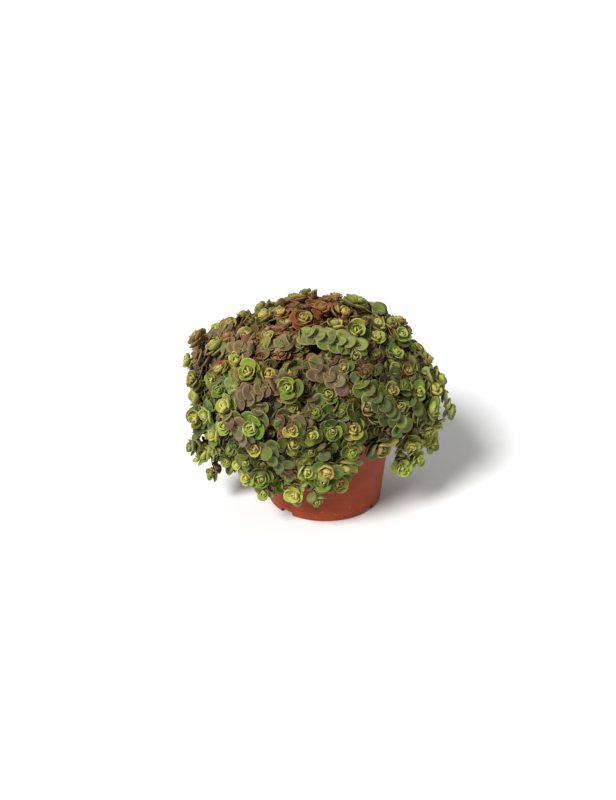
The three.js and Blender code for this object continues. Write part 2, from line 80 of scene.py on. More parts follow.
camera = add_object("viewer", bpy.data.cameras.new("viewer"))
camera.location = VIEW_TARGET + VIEW_BACK * VIEW_DISTANCE
camera.rotation_euler = (-VIEW_BACK).to_track_quat("-Z", "Y").to_euler()
camera.data.lens = VIEW_LENS
camera.data.sensor_width = SENSOR_LENGTH
camera.data.clip_end = VIEW_LIMIT
bpy.context.scene.camera = camera
print("camera at", tuple(round(x, 3) for x in camera.location))

# %% [markdown]
# ## Sums on sockets
# A finish is a small graph of nodes. Written as nodes it is hard to read, so a socket is wrapped in a
# class that knows plus, minus, times and power: `1 - rim` then adds its Math node by itself.

# %% A socket that can be used in sums
class Wire:
    def __init__(self, finish, socket):
        self.finish = finish
        self.socket = socket

    def sum(self, operation, *values):
        return self.finish.node("ShaderNodeMath", {"operation": operation}, dict(enumerate(values)))

    def ramp(self, low, high):
        """0 below low, 1 above high and a soft step between them."""
        soft = {"interpolation_type": "SMOOTHSTEP"}
        return self.finish.node("ShaderNodeMapRange", soft, {0: self, 1: low, 2: high, 3: 0.0, 4: 1.0})


def teach(sign, operation):
    """Plus, minus, times or power, with the wire first or, for the name with r, with it second."""
    setattr(Wire, f"__{sign}__", lambda wire, other: wire.sum(operation, wire, other))
    setattr(Wire, f"__r{sign}__", lambda wire, other: wire.sum(operation, other, wire))


for sign, operation in [("add", "ADD"), ("sub", "SUBTRACT"), ("mul", "MULTIPLY"), ("pow", "POWER")]:
    teach(sign, operation)

# %% A finish: one material with its shader
class Finish:
    def __init__(self, name, constants):
        self.material = bpy.data.materials.new(name)
        self.material.use_nodes = True
        self.tree = self.material.node_tree
        self.shader = self.tree.nodes["Principled BSDF"]
        for socket, value in constants.items():
            self.shader.inputs[socket].default_value = value

    def node(self, kind, settings, inputs, output=0):
        """Adds a node: its settings first, then a value or a link for each named or numbered socket."""
        made = self.tree.nodes.new(kind)
        for name, value in settings.items():
            if name == "stops":
                self.set_stops(made.color_ramp, value)
            else:
                setattr(made, name, value)
        for name, value in inputs.items():
            if isinstance(value, Wire):
                self.tree.links.new(value.socket, made.inputs[name])
            else:
                made.inputs[name].default_value = value
        return Wire(self, made.outputs[output])

    def set_stops(self, ramp, stops):
        while len(ramp.elements) < len(stops):
            ramp.elements.new(0.5)
        for element, (place, colour) in zip(ramp.elements, stops):
            element.position = place
            element.color = colour

    def mix(self, share, colour, other):
        return self.node("ShaderNodeMix", {"data_type": "RGBA"}, {0: share, 6: colour, 7: other}, 2)

    def parts_of(self, attribute):
        """The three numbers that a piece's own attribute holds."""
        vector = self.node("ShaderNodeAttribute", {"attribute_name": attribute}, {}, "Vector")
        return [self.node("ShaderNodeSeparateXYZ", {}, {0: vector}, axis) for axis in range(3)]

    def grain(self, scale, detail=2.0, rough=0.5):
        """Cloudy noise on the piece's own coordinates: scale is in cells a metre."""
        place = self.node("ShaderNodeTexCoord", {}, {}, "Object")
        return self.node("ShaderNodeTexNoise", {}, {
            "Vector": place, "Scale": scale, "Detail": detail, "Roughness": rough})

    def feed(self, socket, wire):
        self.tree.links.new(wire.socket, self.shader.inputs[socket])

    def bump(self, height, strength, depth):
        self.feed("Normal", self.node("ShaderNodeBump", {}, {
            "Strength": strength, "Distance": depth, "Height": height}))


def paint(red, green, blue):
    """A colour as a painter's chart gives it, 0 to 255, made linear as the shader wants it."""
    def linear(value):
        value /= 255
        return value / 12.92 if value <= 0.04045 else ((value + 0.055) / 1.055) ** 2.4
    return (linear(red), linear(green), linear(blue), 1.0)


# %% [markdown]
# ## The plan of the plant
# The plain solids were planned before they were made: the shoots are spread over a dome by the golden
# angle, their rosettes push each other apart, and each stem bends its way to the compost. The same plan
# is worked out again here, in millimetres, so that every fine shoot grows where its solid stands.

# %% The dome that the rosettes lie on
POT_HEIGHT = 95
RIM_RADIUS = 60
SOIL_TOP = 84
HOLE_DEPTH = 9
DOME_X = -7
DOME_LEAN = 6
DOME_EQUATOR = 106
DOME_RISE = 79
DOME_SPAN = 150
DOME_SHOULDER = 1.75
DOME_TUCK = 0.48
REACH = [(0, 101), (45, 100), (90, 98), (135, 103), (180, 106), (225, 104), (270, 92), (315, 93)]
HEM = [(0, 56), (45, 50), (90, 48), (135, 46), (180, 40),
       (225, 46), (262, 52), (290, 68), (315, 78), (340, 66)]


def make_draw(seed):
    """A repeatable random draw between two numbers."""
    state = [seed]

    def between(low, high):
        state[0] = state[0] * 16807 % 2147483647
        return low + (high - low) * state[0] / 2147483647
    return between


def around(table, azimuth):
    """A table of values by azimuth, read smoothly at any azimuth."""
    at = np.array([row[0] for row in table] + [360.0])
    values = np.array([row[1] for row in table] + [table[0][1]], float)
    turn = np.mod(azimuth, 360)
    last = np.clip(np.searchsorted(at, turn, side="right"), 1, len(at) - 1)
    share = (turn - at[last - 1]) / (at[last] - at[last - 1])
    return values[last - 1] + (values[last] - values[last - 1]) * share ** 2 * (3 - 2 * share)


def dome_point(polar, azimuth):
    """Places on the dome: polar is 0 at the top, 90 at the widest level and 150 at the hem."""
    polar, azimuth = np.atleast_1d(polar).astype(float), np.atleast_1d(azimuth).astype(float)
    tilt = np.radians(polar)
    reach = around(REACH, azimuth)
    drop = (DOME_EQUATOR - around(HEM, azimuth)) / abs(cos(radians(DOME_SPAN)))
    sine, cosine = np.sin(tilt), np.cos(tilt)
    upper = polar < 90
    share = np.where(upper, np.abs(sine) ** DOME_SHOULDER, 1 - DOME_TUCK * (1 - sine))
    height = np.where(upper, DOME_RISE, drop) * cosine
    side = np.radians(azimuth)
    return np.stack([
        DOME_X - DOME_LEAN * np.maximum(0, cosine) + reach * share * np.cos(side),
        reach * share * np.sin(side),
        DOME_EQUATOR + height], axis=-1)


def dome_frame(polar, azimuth):
    """The ways down and round the dome for each degree, and the way out of it."""
    step = 0.5
    low = np.maximum(np.atleast_1d(polar).astype(float), 2)
    down = dome_point(low + step, azimuth) - dome_point(low - step, azimuth)
    azimuth = np.atleast_1d(azimuth)
    round_ = dome_point(low, azimuth + step) - dome_point(low, azimuth - step)
    out = np.cross(down, round_)
    return down, round_, out / np.linalg.norm(out, axis=-1, keepdims=True)


print("top of the dome:", dome_point(0, 0).round(1).tolist())

# %% Plant the shoots
SEED = 8128
MOUND_SHOOTS = 42
ROSETTES_A_SHOOT = 3
ROSETTE_SPACING = 27.5
EVEN_POLAR = 105
EXTRA_POLAR = 38
EXTRA_POWER = 3.2
LEANING_POLAR = 70
ROUNDS = 60
KIN_PULL = 0.3
OTHER_PULL = 0.4
DEPTH_SPREAD = (-4, 3)
AXIS_RISE = 0.55
AXIS_WOBBLE = 0.22
GOLDEN_ANGLE = 137.508
LONG_SHOOTS = [
    (188, 100, 146), (262, 78, 38), (233, 86, 44), (190, 98, 30), (288, 76, 54),
    (326, 90, 56), (344, 100, 62), (22, 95, 42), (92, 88, 36), (140, 96, 36)]
SECOND_WHEN_HANGING = (-4, 19, 7)
SECOND_WHEN_LEANING = (20, 6, 6)
between = make_draw(SEED)


def plant_long_shoot(azimuth, reach, height):
    side = radians(azimuth)
    hangs = height < POT_HEIGHT
    rosettes = []
    for back, rise, slide in [(0, 0, 0), SECOND_WHEN_HANGING if hangs else SECOND_WHEN_LEANING]:
        x = DOME_X + (reach - back) * cos(side) - slide * sin(side)
        y = (reach - back) * sin(side) + slide * cos(side)
        rosettes.append(Record(
            polar=DOME_SPAN if hangs else LEANING_POLAR, azimuth=azimuth, fixed=True,
            place=np.array([x, y, height + rise])))
    return rosettes


def plant_mound_shoot(number):
    share = (number + 0.5) / MOUND_SHOOTS
    polar = EVEN_POLAR * sqrt(share) + EXTRA_POLAR * share ** EXTRA_POWER
    azimuth = number * GOLDEN_ANGLE % 360
    down, round_, _ = dome_frame(polar, azimuth)
    away = ROSETTE_SPACING / sqrt(3)
    turn = between(0, 360)
    rosettes = []
    for k in range(ROSETTES_A_SHOOT):
        angle = radians(turn + 360 * k / ROSETTES_A_SHOOT)
        rosettes.append(Record(
            polar=polar + away * cos(angle) / np.linalg.norm(down),
            azimuth=azimuth + away * sin(angle) / max(np.linalg.norm(round_), 0.4),
            fixed=False, place=np.zeros(3)))
    return rosettes


planted = [plant_long_shoot(*row) for row in LONG_SHOOTS]
planted += [plant_mound_shoot(number) for number in range(MOUND_SHOOTS)]
rosettes = [rosette for shoot in planted for rosette in shoot]
owner = np.array([number for number, shoot in enumerate(planted) for _ in shoot])
print(len(planted), "shoots with", len(rosettes), "rosettes")

# %% [markdown]
# For each plain rosette the plan also draws a size and a turn. The fine heads have their own, but
# those two draws are made here as well, so that the next rosette gets its true numbers.

# %% Let the rosettes push each other apart
PLAIN_DRAWS = 2
polar = np.array([rosette.polar for rosette in rosettes], float)
azimuth = np.array([rosette.azimuth for rosette in rosettes], float)
free = np.array([not rosette.fixed for rosette in rosettes])
places = np.array([rosette.place for rosette in rosettes])


def keep_on_dome():
    over = free & (polar < 0)
    polar[over] *= -1
    azimuth[over] += 180
    polar[free] = np.minimum(polar[free], DOME_SPAN)


keep_on_dome()
kin = owner[:, None] == owner[None, :]
for _ in range(ROUNDS):
    places[free] = dome_point(polar, azimuth)[free]
    way = places[:, None] - places[None, :]
    distance = np.maximum(np.linalg.norm(way, axis=-1), 0.1)
    pull = (ROSETTE_SPACING - distance) / distance * np.where(kin, KIN_PULL, OTHER_PULL)
    pull[(distance >= ROSETTE_SPACING) & ~kin] = 0
    push = (way * pull[..., None]).sum(axis=1)
    down, round_, _ = dome_frame(polar, azimuth)
    polar[free] += ((push * down).sum(-1) / (down ** 2).sum(-1))[free]
    azimuth[free] += ((push * round_).sum(-1) / np.maximum((round_ ** 2).sum(-1), 0.1))[free]
    keep_on_dome()

downhill, _, outward = dome_frame(polar, azimuth)
for rosette, place, out, down in zip(rosettes, places, outward, downhill):
    rosette.out = Vector(out)
    rosette.down = Vector(down).normalized()
    rosette.place = Vector(place)
    if not rosette.fixed:
        rosette.place += rosette.out * between(*DEPTH_SPREAD)
    axis = rosette.out + UP * AXIS_RISE
    axis.x += between(-AXIS_WOBBLE, AXIS_WOBBLE)
    axis.y += between(-AXIS_WOBBLE, AXIS_WOBBLE)
    rosette.axis = axis.normalized()
    for _ in range(PLAIN_DRAWS):
        between(0, 1)
print("highest rosette at", round(max(rosette.place.z for rosette in rosettes), 1), "mm")

# %% [markdown]
# ## The stems
# Each stem rises from its hole in the compost, passes over the rim and ends in a fork under its
# rosettes. Straight lines would run through each other, so the points are pushed apart, round after
# round, and kept off the rim of the pot.

# %% Lay the stems
FORK_DEPTH = 19
FORK_BACK = 13
STEM_RADIUS = 1.4
RIM_SPACE = 2
BASE_DISC = 50
BASE_SPACING = 10
CLEARANCE = 0.3
STEM_SPACING = 2 * STEM_RADIUS + 1.4
STEM_MARKS = 5
FINE_STEPS = 60
BEND_ROUNDS = 30


def widen(point, share):
    """Moves a point away from the pot's axis or towards it, at its own height."""
    point.x *= share
    point.y *= share


def keep_off_rim(point):
    least = RIM_RADIUS + RIM_SPACE + 2 * STEM_RADIUS
    far = hypot(point.x, point.y)
    if point.z <= POT_HEIGHT + 5 and far <= least:
        widen(point, least / far)


def spread_bases(bases):
    for _ in range(ROUNDS):
        for base in bases:
            for other in bases:
                way = base - other
                distance = way.length
                if other is not base and distance <= BASE_SPACING:
                    base += way * (0.4 * (BASE_SPACING - distance) / max(distance, 0.1))
            far = hypot(base.x, base.y)
            if far > BASE_DISC:
                widen(base, BASE_DISC / far)


def stem_points(base, fork):
    """Seven points from the foot in the compost to the fork."""
    spread = hypot(fork.x - base.x, fork.y - base.y)
    hang = max(0, min(1, (POT_HEIGHT + 30 - fork.z) / 50))
    rise = 0.45 * (fork.z - base.z) * (1 - hang) + (22 + 0.25 * spread) * hang
    first = base + UP * max(rise, 14)
    second = fork.lerp(base, 0.3 * (1 - hang))
    widen(second, 1 - hang * (1 - min(1, (RIM_RADIUS + 6) / hypot(fork.x, fork.y))))
    second.z = first.z * hang + (fork.z - 0.25 * (fork.z - base.z)) * (1 - hang)
    fine = [bezier(base, first, second, fork, k / FINE_STEPS) for k in range(FINE_STEPS + 1)]
    lengths = np.concatenate([[0], np.cumsum([(b - a).length for a, b in zip(fine, fine[1:])])])
    shares = [lengths[-1] * k / STEM_MARKS for k in range(1, STEM_MARKS)]
    marks = [fine[int(np.searchsorted(lengths, share))] for share in shares]
    return [base + UP * (CLEARANCE - HOLE_DEPTH), base + UP * 4, *marks, fork.copy()]


def bezier(a, b, c, d, t):
    s = 1 - t
    return a * s ** 3 + b * (3 * s * s * t) + c * (3 * s * t * t) + d * t ** 3


shoots = []
for number in range(len(planted)):
    tips = [rosette for rosette, mine in zip(rosettes, owner) if mine == number]
    middle = sum((tip.place for tip in tips), Vector()) / len(tips)
    out = sum((tip.out for tip in tips), Vector()).normalized()
    fork = middle - out * FORK_DEPTH
    if number < len(LONG_SHOOTS):
        fork = tips[1].place - out * FORK_BACK + UP * 4
    keep_off_rim(fork)
    shoots.append(Record(tips=tips, fork=fork, out=out, side=atan2(middle.y, middle.x)))

ranked = sorted(shoots, key=lambda shoot: -shoot.tips[0].place.z)
for rank, shoot in enumerate(ranked):
    radius = BASE_DISC * sqrt((rank + 0.5) / len(ranked))
    shoot.base = Vector((radius * cos(shoot.side), radius * sin(shoot.side), SOIL_TOP))
spread_bases([shoot.base for shoot in shoots])
for shoot in shoots:
    shoot.stem = stem_points(shoot.base, shoot.fork)
print("stems laid, the longest reach", round(max(shoot.fork.length for shoot in shoots)), "mm")


# %% Bend the stems clear of each other and of the rim
def nearest_on_lines(a, b, c, d):
    """For one piece of stem a-b and many others c-d: the shares along a-b, the ways apart and how far."""
    u, v, w = b - a, d - c, a - c
    uu, vv, uv = u @ u, (v * v).sum(1), v @ u
    det = np.maximum(uu * vv - uv ** 2, 1e-9)
    s = np.clip((uv * (v * w).sum(1) - vv * (w @ u)) / det, 0, 1)
    t = np.clip((uv * s + (v * w).sum(1)) / np.maximum(vv, 1e-9), 0, 1)
    s = np.clip((uv * t - w @ u) / max(uu, 1e-9), 0, 1)
    way = a + u * s[:, None] - (c + v * t[:, None])
    return s, way, np.linalg.norm(way, axis=1)


def pass_rim(path):
    """Lifts a stem over the pot's rim where it crosses it, and keeps it off the wall where it hangs."""
    least = RIM_RADIUS + STEM_RADIUS + RIM_SPACE
    top = POT_HEIGHT + STEM_RADIUS + 1.5
    for i in range(2, len(path)):
        point, before = path[i], path[i - 1]
        far, near = hypot(*point[:2]), hypot(*before[:2])
        if near < RIM_RADIUS < far:
            share = (RIM_RADIUS - near) / (far - near)
            lack = top - (before[2] + (point[2] - before[2]) * share)
            if lack > 0 and i < len(path) - 1:
                point[2] += lack
            if lack > 0 and i > 2:
                before[2] += lack
        if RIM_RADIUS - 6 < far < least and point[2] < top and i < len(path) - 1:
            point[:2] *= least / far


stems = np.array([shoot.stem for shoot in shoots])
points_a_stem = stems.shape[1]
mine = np.repeat(np.arange(len(shoots)), points_a_stem - 1)
for _ in range(BEND_ROUNDS):
    starts = stems[:, :-1].reshape(-1, 3).copy()
    ends = stems[:, 1:].reshape(-1, 3).copy()
    for number, path in enumerate(stems):
        for i in range(1, points_a_stem - 1):
            s, way, apart = nearest_on_lines(path[i], path[i + 1], starts, ends)
            close = (apart < STEM_SPACING) & (mine != number)
            if not close.any():
                continue
            lack = 0.5 * (STEM_SPACING - apart[close]) / np.maximum(apart[close], 0.05)
            shove = way[close] * lack[:, None]
            for at, part in ((i, 1 - s[close]), (i + 1, s[close])):
                if 2 <= at < points_a_stem - 1:
                    path[at] += (shove * (0.4 + 0.6 * part)[:, None]).sum(0)
        pass_rim(path)
for shoot, path in zip(shoots, stems):
    shoot.stem = [Vector(point) for point in path]
print("bent", len(stems), "stems")

# %% [markdown]
# ## One leaf
# A leaf of this plant is a thick round spoon. It could be drawn vertex by vertex, but a flattened
# sphere already has its round margin and its full edge, so one is squeezed, narrowed at the base and
# hollowed. Four ages are made once, each with few faces because it is repeated hundreds of times. Three
# attributes go with every leaf: where a point lies on the blade, how the leaf grew (its age, sun and
# tone), and its light, which holds painted shade as well as its own tone, with its own blush and glow.

# %% Model the four ages of leaf
BLADE = "blade_place"
GROWTH = "leaf_growth"
# the third attribute's light value holds painted shade as well as the leaf's own tone
SHADE_AND_OWN = "leaf_own"
BLADE_RINGS = 4
TOP_FLESH = 0.55


def soft_step(low, high, value):
    share = max(0.0, min(1.0, (value - low) / (high - low)))
    return share * share * (3 - 2 * share)


def new_piece():
    """An empty piece whose points hold the three attributes."""
    piece = bmesh.new()
    for name in (BLADE, GROWTH, SHADE_AND_OWN):
        piece.verts.layers.float_vector.new(name)
    return piece


def make_leaf(spokes, hollow, curl, thick, neck):
    """A blade 1 long from its base at the origin to its tip at +X, with its upper face up."""
    blade = new_piece()
    blade_place = blade.verts.layers.float_vector[BLADE]
    bmesh.ops.create_uvsphere(blade, u_segments=spokes, v_segments=BLADE_RINGS, radius=1)
    bmesh.ops.rotate(blade, verts=blade.verts, matrix=Matrix.Rotation(pi / spokes, 3, "Z"))
    for vert in blade.verts:
        x, y, z = vert.co
        rim = hypot(x, y)
        along = (x + 1) / 2
        vert[blade_place] = (rim, 1.0 if z < -0.01 else 0.0, along)
        width = neck + (1 - neck) * soft_step(-1.0, 0.1, x)
        flesh = z * thick * (TOP_FLESH if z > 0 else 1.0) * (0.6 + 0.4 * soft_step(-1.0, 0.0, x))
        dish = hollow * (rim ** 2 - 1) + curl * along ** 2
        vert.co = (along, 0.5 * y * width, 0.5 * (flesh + dish) + 0.25 * hollow * (1 - along) ** 2)
    return blade


LEAF_AGES = {
    "heart": make_leaf(spokes=10, hollow=0.62, curl=0.30, thick=0.24, neck=0.62),
    "young": make_leaf(spokes=14, hollow=0.52, curl=0.14, thick=0.14, neck=0.56),
    "grown": make_leaf(spokes=16, hollow=0.36, curl=0.04, thick=0.11, neck=0.56),
    "old": make_leaf(spokes=16, hollow=0.34, curl=-0.04, thick=0.11, neck=0.66),
}
for age, blade in LEAF_AGES.items():
    print(age, "leaf:", len(blade.faces), "faces")
scratch = bpy.data.meshes.new("scratch_leaf")


def add_leaf(piece, age, foot, way, face, length, width, look):
    """Copies a leaf into a piece: its foot, the way its blade points, the way its upper face looks."""
    blade = LEAF_AGES[age].copy()
    ahead = way.normalized()
    upper = (face - ahead * face.dot(ahead)).normalized()
    turn = Matrix((ahead, upper.cross(ahead), upper)).transposed().to_4x4()
    size = Matrix.Diagonal((length, width, length, 1))
    bmesh.ops.transform(blade, matrix=Matrix.Translation(foot) @ turn @ size, verts=blade.verts)
    growth, own = (blade.verts.layers.float_vector[name] for name in (GROWTH, SHADE_AND_OWN))
    for vert in blade.verts:
        vert[growth], vert[own] = look
    blade.to_mesh(scratch)
    blade.free()
    piece.from_mesh(scratch, face_normals=False, vertex_normals=False)


# %% [markdown]
# ## Runners on the mound
# Some shoots show no head: they lie on the mound with two rows of big round leaves, like overlapping
# coins. Chance could strew them, but they are the first thing that the eye finds, so each is listed as a
# line of places on the dome, from its root end to its tip.

# %% Lay the runners
RUNNER_LIFT = 1.5
RUNNERS = [  # places on the dome, leaf length, then the share of sun, purple and light
    ([(40, 267), (43, 281), (46, 296), (50, 310)], 13.6, (0.06, 0.50, 0.72)),
    ([(51, 222), (54, 213), (57, 205)], 11.6, (0.04, 0.85, 0.66)),
    ([(42, 246), (44, 238), (47, 230)], 11.6, (0.05, 0.75, 0.70)),
    ([(68, 297), (78, 304), (90, 312), (100, 317)], 14.0, (0.00, 0.05, 0.56)),
    ([(84, 322), (94, 327), (104, 331)], 12.4, (0.00, 0.10, 0.54)),
    ([(66, 246), (69, 239), (73, 233)], 11.8, (0.06, 0.95, 0.52)),
    ([(58, 273), (62, 280), (65, 287)], 12.0, (0.08, 0.95, 0.50)),
    ([(86, 231), (92, 235), (98, 239)], 11.6, (0.00, 0.75, 0.58)),
    ([(104, 247), (112, 250), (120, 253)], 11.8, (0.00, 0.30, 0.55)),
    ([(46, 20), (52, 32), (57, 42)], 13.0, (0.08, 0.55, 0.60)),
    ([(70, 62), (77, 72), (85, 79)], 12.4, (0.04, 0.80, 0.55)),
    ([(48, 94), (54, 105), (60, 116)], 13.2, (0.08, 0.60, 0.66)),
    ([(82, 122), (90, 130), (98, 136)], 12.4, (0.00, 0.15, 0.50)),
    ([(50, 192), (55, 185), (62, 179), (70, 175)], 12.0, (0.04, 0.85, 0.55)),
    ([(41, 158), (47, 163), (53, 168)], 12.4, (0.30, 0.40, 0.55)),
    ([(84, 28), (92, 35), (100, 40)], 12.4, (0.00, 0.12, 0.50))]


def on_dome(polar, azimuth, lift):
    return Vector(dome_point(polar, azimuth)[0]) + Vector(dome_frame(polar, azimuth)[2][0]) * lift


runners = []
for marks, leaf_length, mood in RUNNERS:
    line = [on_dome(polar, azimuth, RUNNER_LIFT) for polar, azimuth in marks]
    host = min(shoots, key=lambda shoot: (shoot.fork - line[0]).length)
    runners.append(Record(line=line, leaf=leaf_length, mood=mood, host=host))
runner_marks = np.array([a.lerp(b, t) for runner in runners
                         for a, b in zip(runner.line, runner.line[1:]) for t in (0, 0.5, 1)])
print(len(runners), "runners")

# %% [markdown]
# ## Where the heads go
# In the photograph each plain rosette is one bright head of leaves with a smaller, duller side head
# near it. The heads are pushed apart until they share the dome evenly, and off the runners. Then heads
# and runners settle: the real mound lies higher than the even dome at its left hem, and lower left of
# its crown. Twigs come up to the light a little uphill and trail down, so each head gets a way to trail.

# %% Place the heads
HEAD_SPACING = 17.5
HEAD_RADIUS = 9.8
SIDE_RADIUS = 7.0
HEAD_ROUNDS = 40
HEAD_TETHER = 12.0
HEAD_SEED = 4711
HEAD_AWAY, HEAD_DEPTH = (3, 7), (-5.0, 2.5)
SIDE_AWAY, SIDE_DEPTH = (8, 11), (-9.0, -2.0)
RUNNER_BERTH = 13.0
PUSH_SHARE = 0.3
CROWN = (150, 172)
HEM_TOP = 70
SWING = 55
SWAY = 0.35
EVERYWHERE = (-1001, -1000)
SETTLING = [  # how far a place is lifted, and the steps in x, y and z over which that comes in
    (8, (-40, -75), EVERYWHERE, (62, 45)),
    (-12, (-8, -46), EVERYWHERE, (152, 174)),
    (-5, (-20, -45), (15, 45), (142, 156))]
dice = make_draw(HEAD_SEED)

heads = []
for rosette in rosettes:
    level = rosette.axis.orthogonal().normalized()
    first = dice(0, 360)
    for k in range(2):
        angle = radians(first + 180 * k + dice(-40, 40))
        side = Matrix.Rotation(angle, 3, rosette.axis) @ level
        away = dice(*(SIDE_AWAY if k else HEAD_AWAY))
        depth = dice(*(SIDE_DEPTH if k else HEAD_DEPTH))
        place = rosette.place + side * away + rosette.out * depth
        heads.append(Record(rosette=rosette, side=k == 1, place=place))


def push_from(centres, others, spacing):
    """How each centre is pushed by all others that are nearer than the spacing."""
    way = centres[:, None] - others[None, :]
    distance = np.maximum(np.linalg.norm(way, axis=-1), 0.1)
    share = np.where(distance < spacing, (spacing - distance) / distance * PUSH_SHARE, 0)
    return (way * share[..., None]).sum(axis=1)


for _ in range(HEAD_ROUNDS):
    centres = np.array([head.place for head in heads])
    pushes = push_from(centres, centres, HEAD_SPACING) + push_from(centres, runner_marks, RUNNER_BERTH)
    for head, push in zip(heads, pushes):
        push = Vector(push)
        out = head.rosette.out
        push -= out * push.dot(out)
        moved = head.place + push - head.rosette.place
        if moved.length > HEAD_TETHER:
            moved *= HEAD_TETHER / moved.length
        head.place = head.rosette.place + moved


def trail_of(rosette):
    """The way a head trails: downhill, more or less, and never back under the mound."""
    place, out, down = rosette.place, rosette.out, rosette.down
    radial = Vector((place.x - DOME_X, place.y, 0)).normalized()
    if rosette.fixed:
        fall = 1.0 if place.z < POT_HEIGHT else 0.15
        across = radial.cross(UP)
        outward = radial * (1.15 - fall + dice(-0.1, 0.2))
        return (outward + across * dice(-0.5, 0.5) - UP * fall).normalized()
    swing = dice(-180, 180) if place.z > CROWN[1] else dice(-SWING, SWING)
    outward = down - radial * min(0.0, down.dot(radial))
    return (Matrix.Rotation(radians(swing), 3, out) @ outward).normalized()


def settle(place):
    for lift, *steps in SETTLING:
        for step, value in zip(steps, place):
            lift *= soft_step(*step, value)
        place.z += lift


for runner in runners:
    for place in runner.line:
        settle(place)
for head in heads:
    rosette = head.rosette
    settle(head.place)
    head.trail = trail_of(rosette)
    crown = soft_step(*CROWN, rosette.place.z)
    lean = (head.place - rosette.place) * 0.03 + head.trail * (0.22 * (1 - crown))
    axis = rosette.axis
    if rosette.place.z < HEM_TOP:
        axis = Vector((axis.x, axis.y, 0)).normalized() + UP * 0.35
    sway = Vector((dice(-SWAY, SWAY), dice(-SWAY, SWAY), 0)) * (1 - 0.4 * crown)
    head.axis = (axis + lean + sway).normalized()
    head.radius = (SIDE_RADIUS if head.side else HEAD_RADIUS) * dice(0.74, 1.2)
    head.turn = dice(0, 360)
    head.openness = dice(0.75, 1.2)
    head.dullness = dice(0.12, 0.5) if head.side else dice(0.0, 0.06)
print(len(heads), "heads")

# %% [markdown]
# ## How the light has coloured the plant
# Sun turns the leaves bronze on the crown, the sheltered side stays dark green, and old leaves go
# grey-green or a dusty purple in patches. The fresh growth on the right and low down is the brightest,
# and the middle of the front is painted darkest, as painted shade in its hollow. Slow noise over the
# plant gives each head its own share.

# %% Read the sun, the tone and the light at a place
HOLLOW = on_dome(68, 303, 0)
HOLLOW_SIZE = 40
SUNNY_HEIGHT = (112, 168)
GREEN_HEIGHT = (95, 60)
GREEN_SIDE = (20, 85)
FRESH_HEIGHT = (105, 62)
FRESH_LEFT = (10, -70)
FRESH_RIGHT = (45, 80)
FRESHEST_HEIGHT = (110, 80)
DIM_HEIGHT = (138, 166)
DIM_SIDE = (10, -35)
WARMTH_SPREAD = 0.22
SCATTER = 0.14


def sun_at(point):
    """How bronzed a leaf is there: 1 on the crown, next to 0 at the hem."""
    return 0.08 + 0.60 * soft_step(*SUNNY_HEIGHT, point.z) + 0.42 * noise.noise(point * 0.034)


def tone_at(point):
    """Which way an old leaf turns: 0 is green, 1 is dusty purple."""
    cloud = noise.noise(point * 0.024 + Vector((7.3, 1.9, 4.1)))
    low = soft_step(*GREEN_HEIGHT, point.z)
    return 0.55 + 0.9 * cloud - 0.45 * soft_step(*GREEN_SIDE, point.x) - 0.3 * low


def light_at(point):
    """How bright the leaves are painted there, with painted shade in the hollow at the middle of the front.
    """
    cloud = noise.noise(point * 0.036 + Vector((2.1, 8.4, 5.7)))
    fresh = 0.22 * soft_step(*FRESH_HEIGHT, point.z) + 0.03 * soft_step(*FRESH_LEFT, point.x)
    fresh += (0.42 + 0.30 * soft_step(*FRESHEST_HEIGHT, point.z)) * soft_step(*FRESH_RIGHT, point.x)
    # painted shade: leaves near the hollow at the middle of the front get a lower light value
    shade = 0.40 * exp(-((point - HOLLOW).length / HOLLOW_SIZE) ** 2)
    crown = 0.16 * soft_step(*DIM_HEIGHT, point.z) * soft_step(*DIM_SIDE, point.x)
    return 0.42 + 0.55 * cloud + fresh - shade - crown


def look_of(age, mood):
    """What a leaf's attributes hold: age, sun and tone, then its light, blush and glow."""
    sun, tone, light, *glow = [max(0.0, min(1.0, value + dice(-SCATTER, SCATTER))) for value in mood]
    return (age, sun, tone), (light, dice(0, 1), glow[0] if glow else 0.5)


for head in heads:
    warm, place = dice(-WARMTH_SPREAD, WARMTH_SPREAD), head.place
    light = light_at(place) + dice(-SCATTER, SCATTER)
    head.mood = (sun_at(place) + warm, tone_at(place), light, dice(0, 1))
print("sunniest head:", round(max(head.mood[0] for head in heads), 2))

# %% [markdown]
# ## A head of leaves
# Leaves leave the stem one by one, each turned from the last by the golden angle. The youngest stand
# upright round the tip like the petals of a rosebud, and the older ones are twice as long and lie back.
# Behind the head come full-grown leaves, two to the sides and then one that covers them, which turn
# their faces out of the mound. The deeper they stand, the darker they are painted, as painted shade.

# %% Grow one head and the leaves along its twig
BUD_LEAVES = 7
OPEN_LEAVES = 5
DEEP = 34
TOP_RECLINE, TOP_STEP_BACK = 34, 2.5
SIDE_RECLINE = 76
MOUND_MIDDLE = 98
MOUND_WIDE, MOUND_HIGH = 100, 85


def around_axis(axis, angle):
    return Matrix.Rotation(radians(angle), 3, axis) @ axis.orthogonal().normalized()


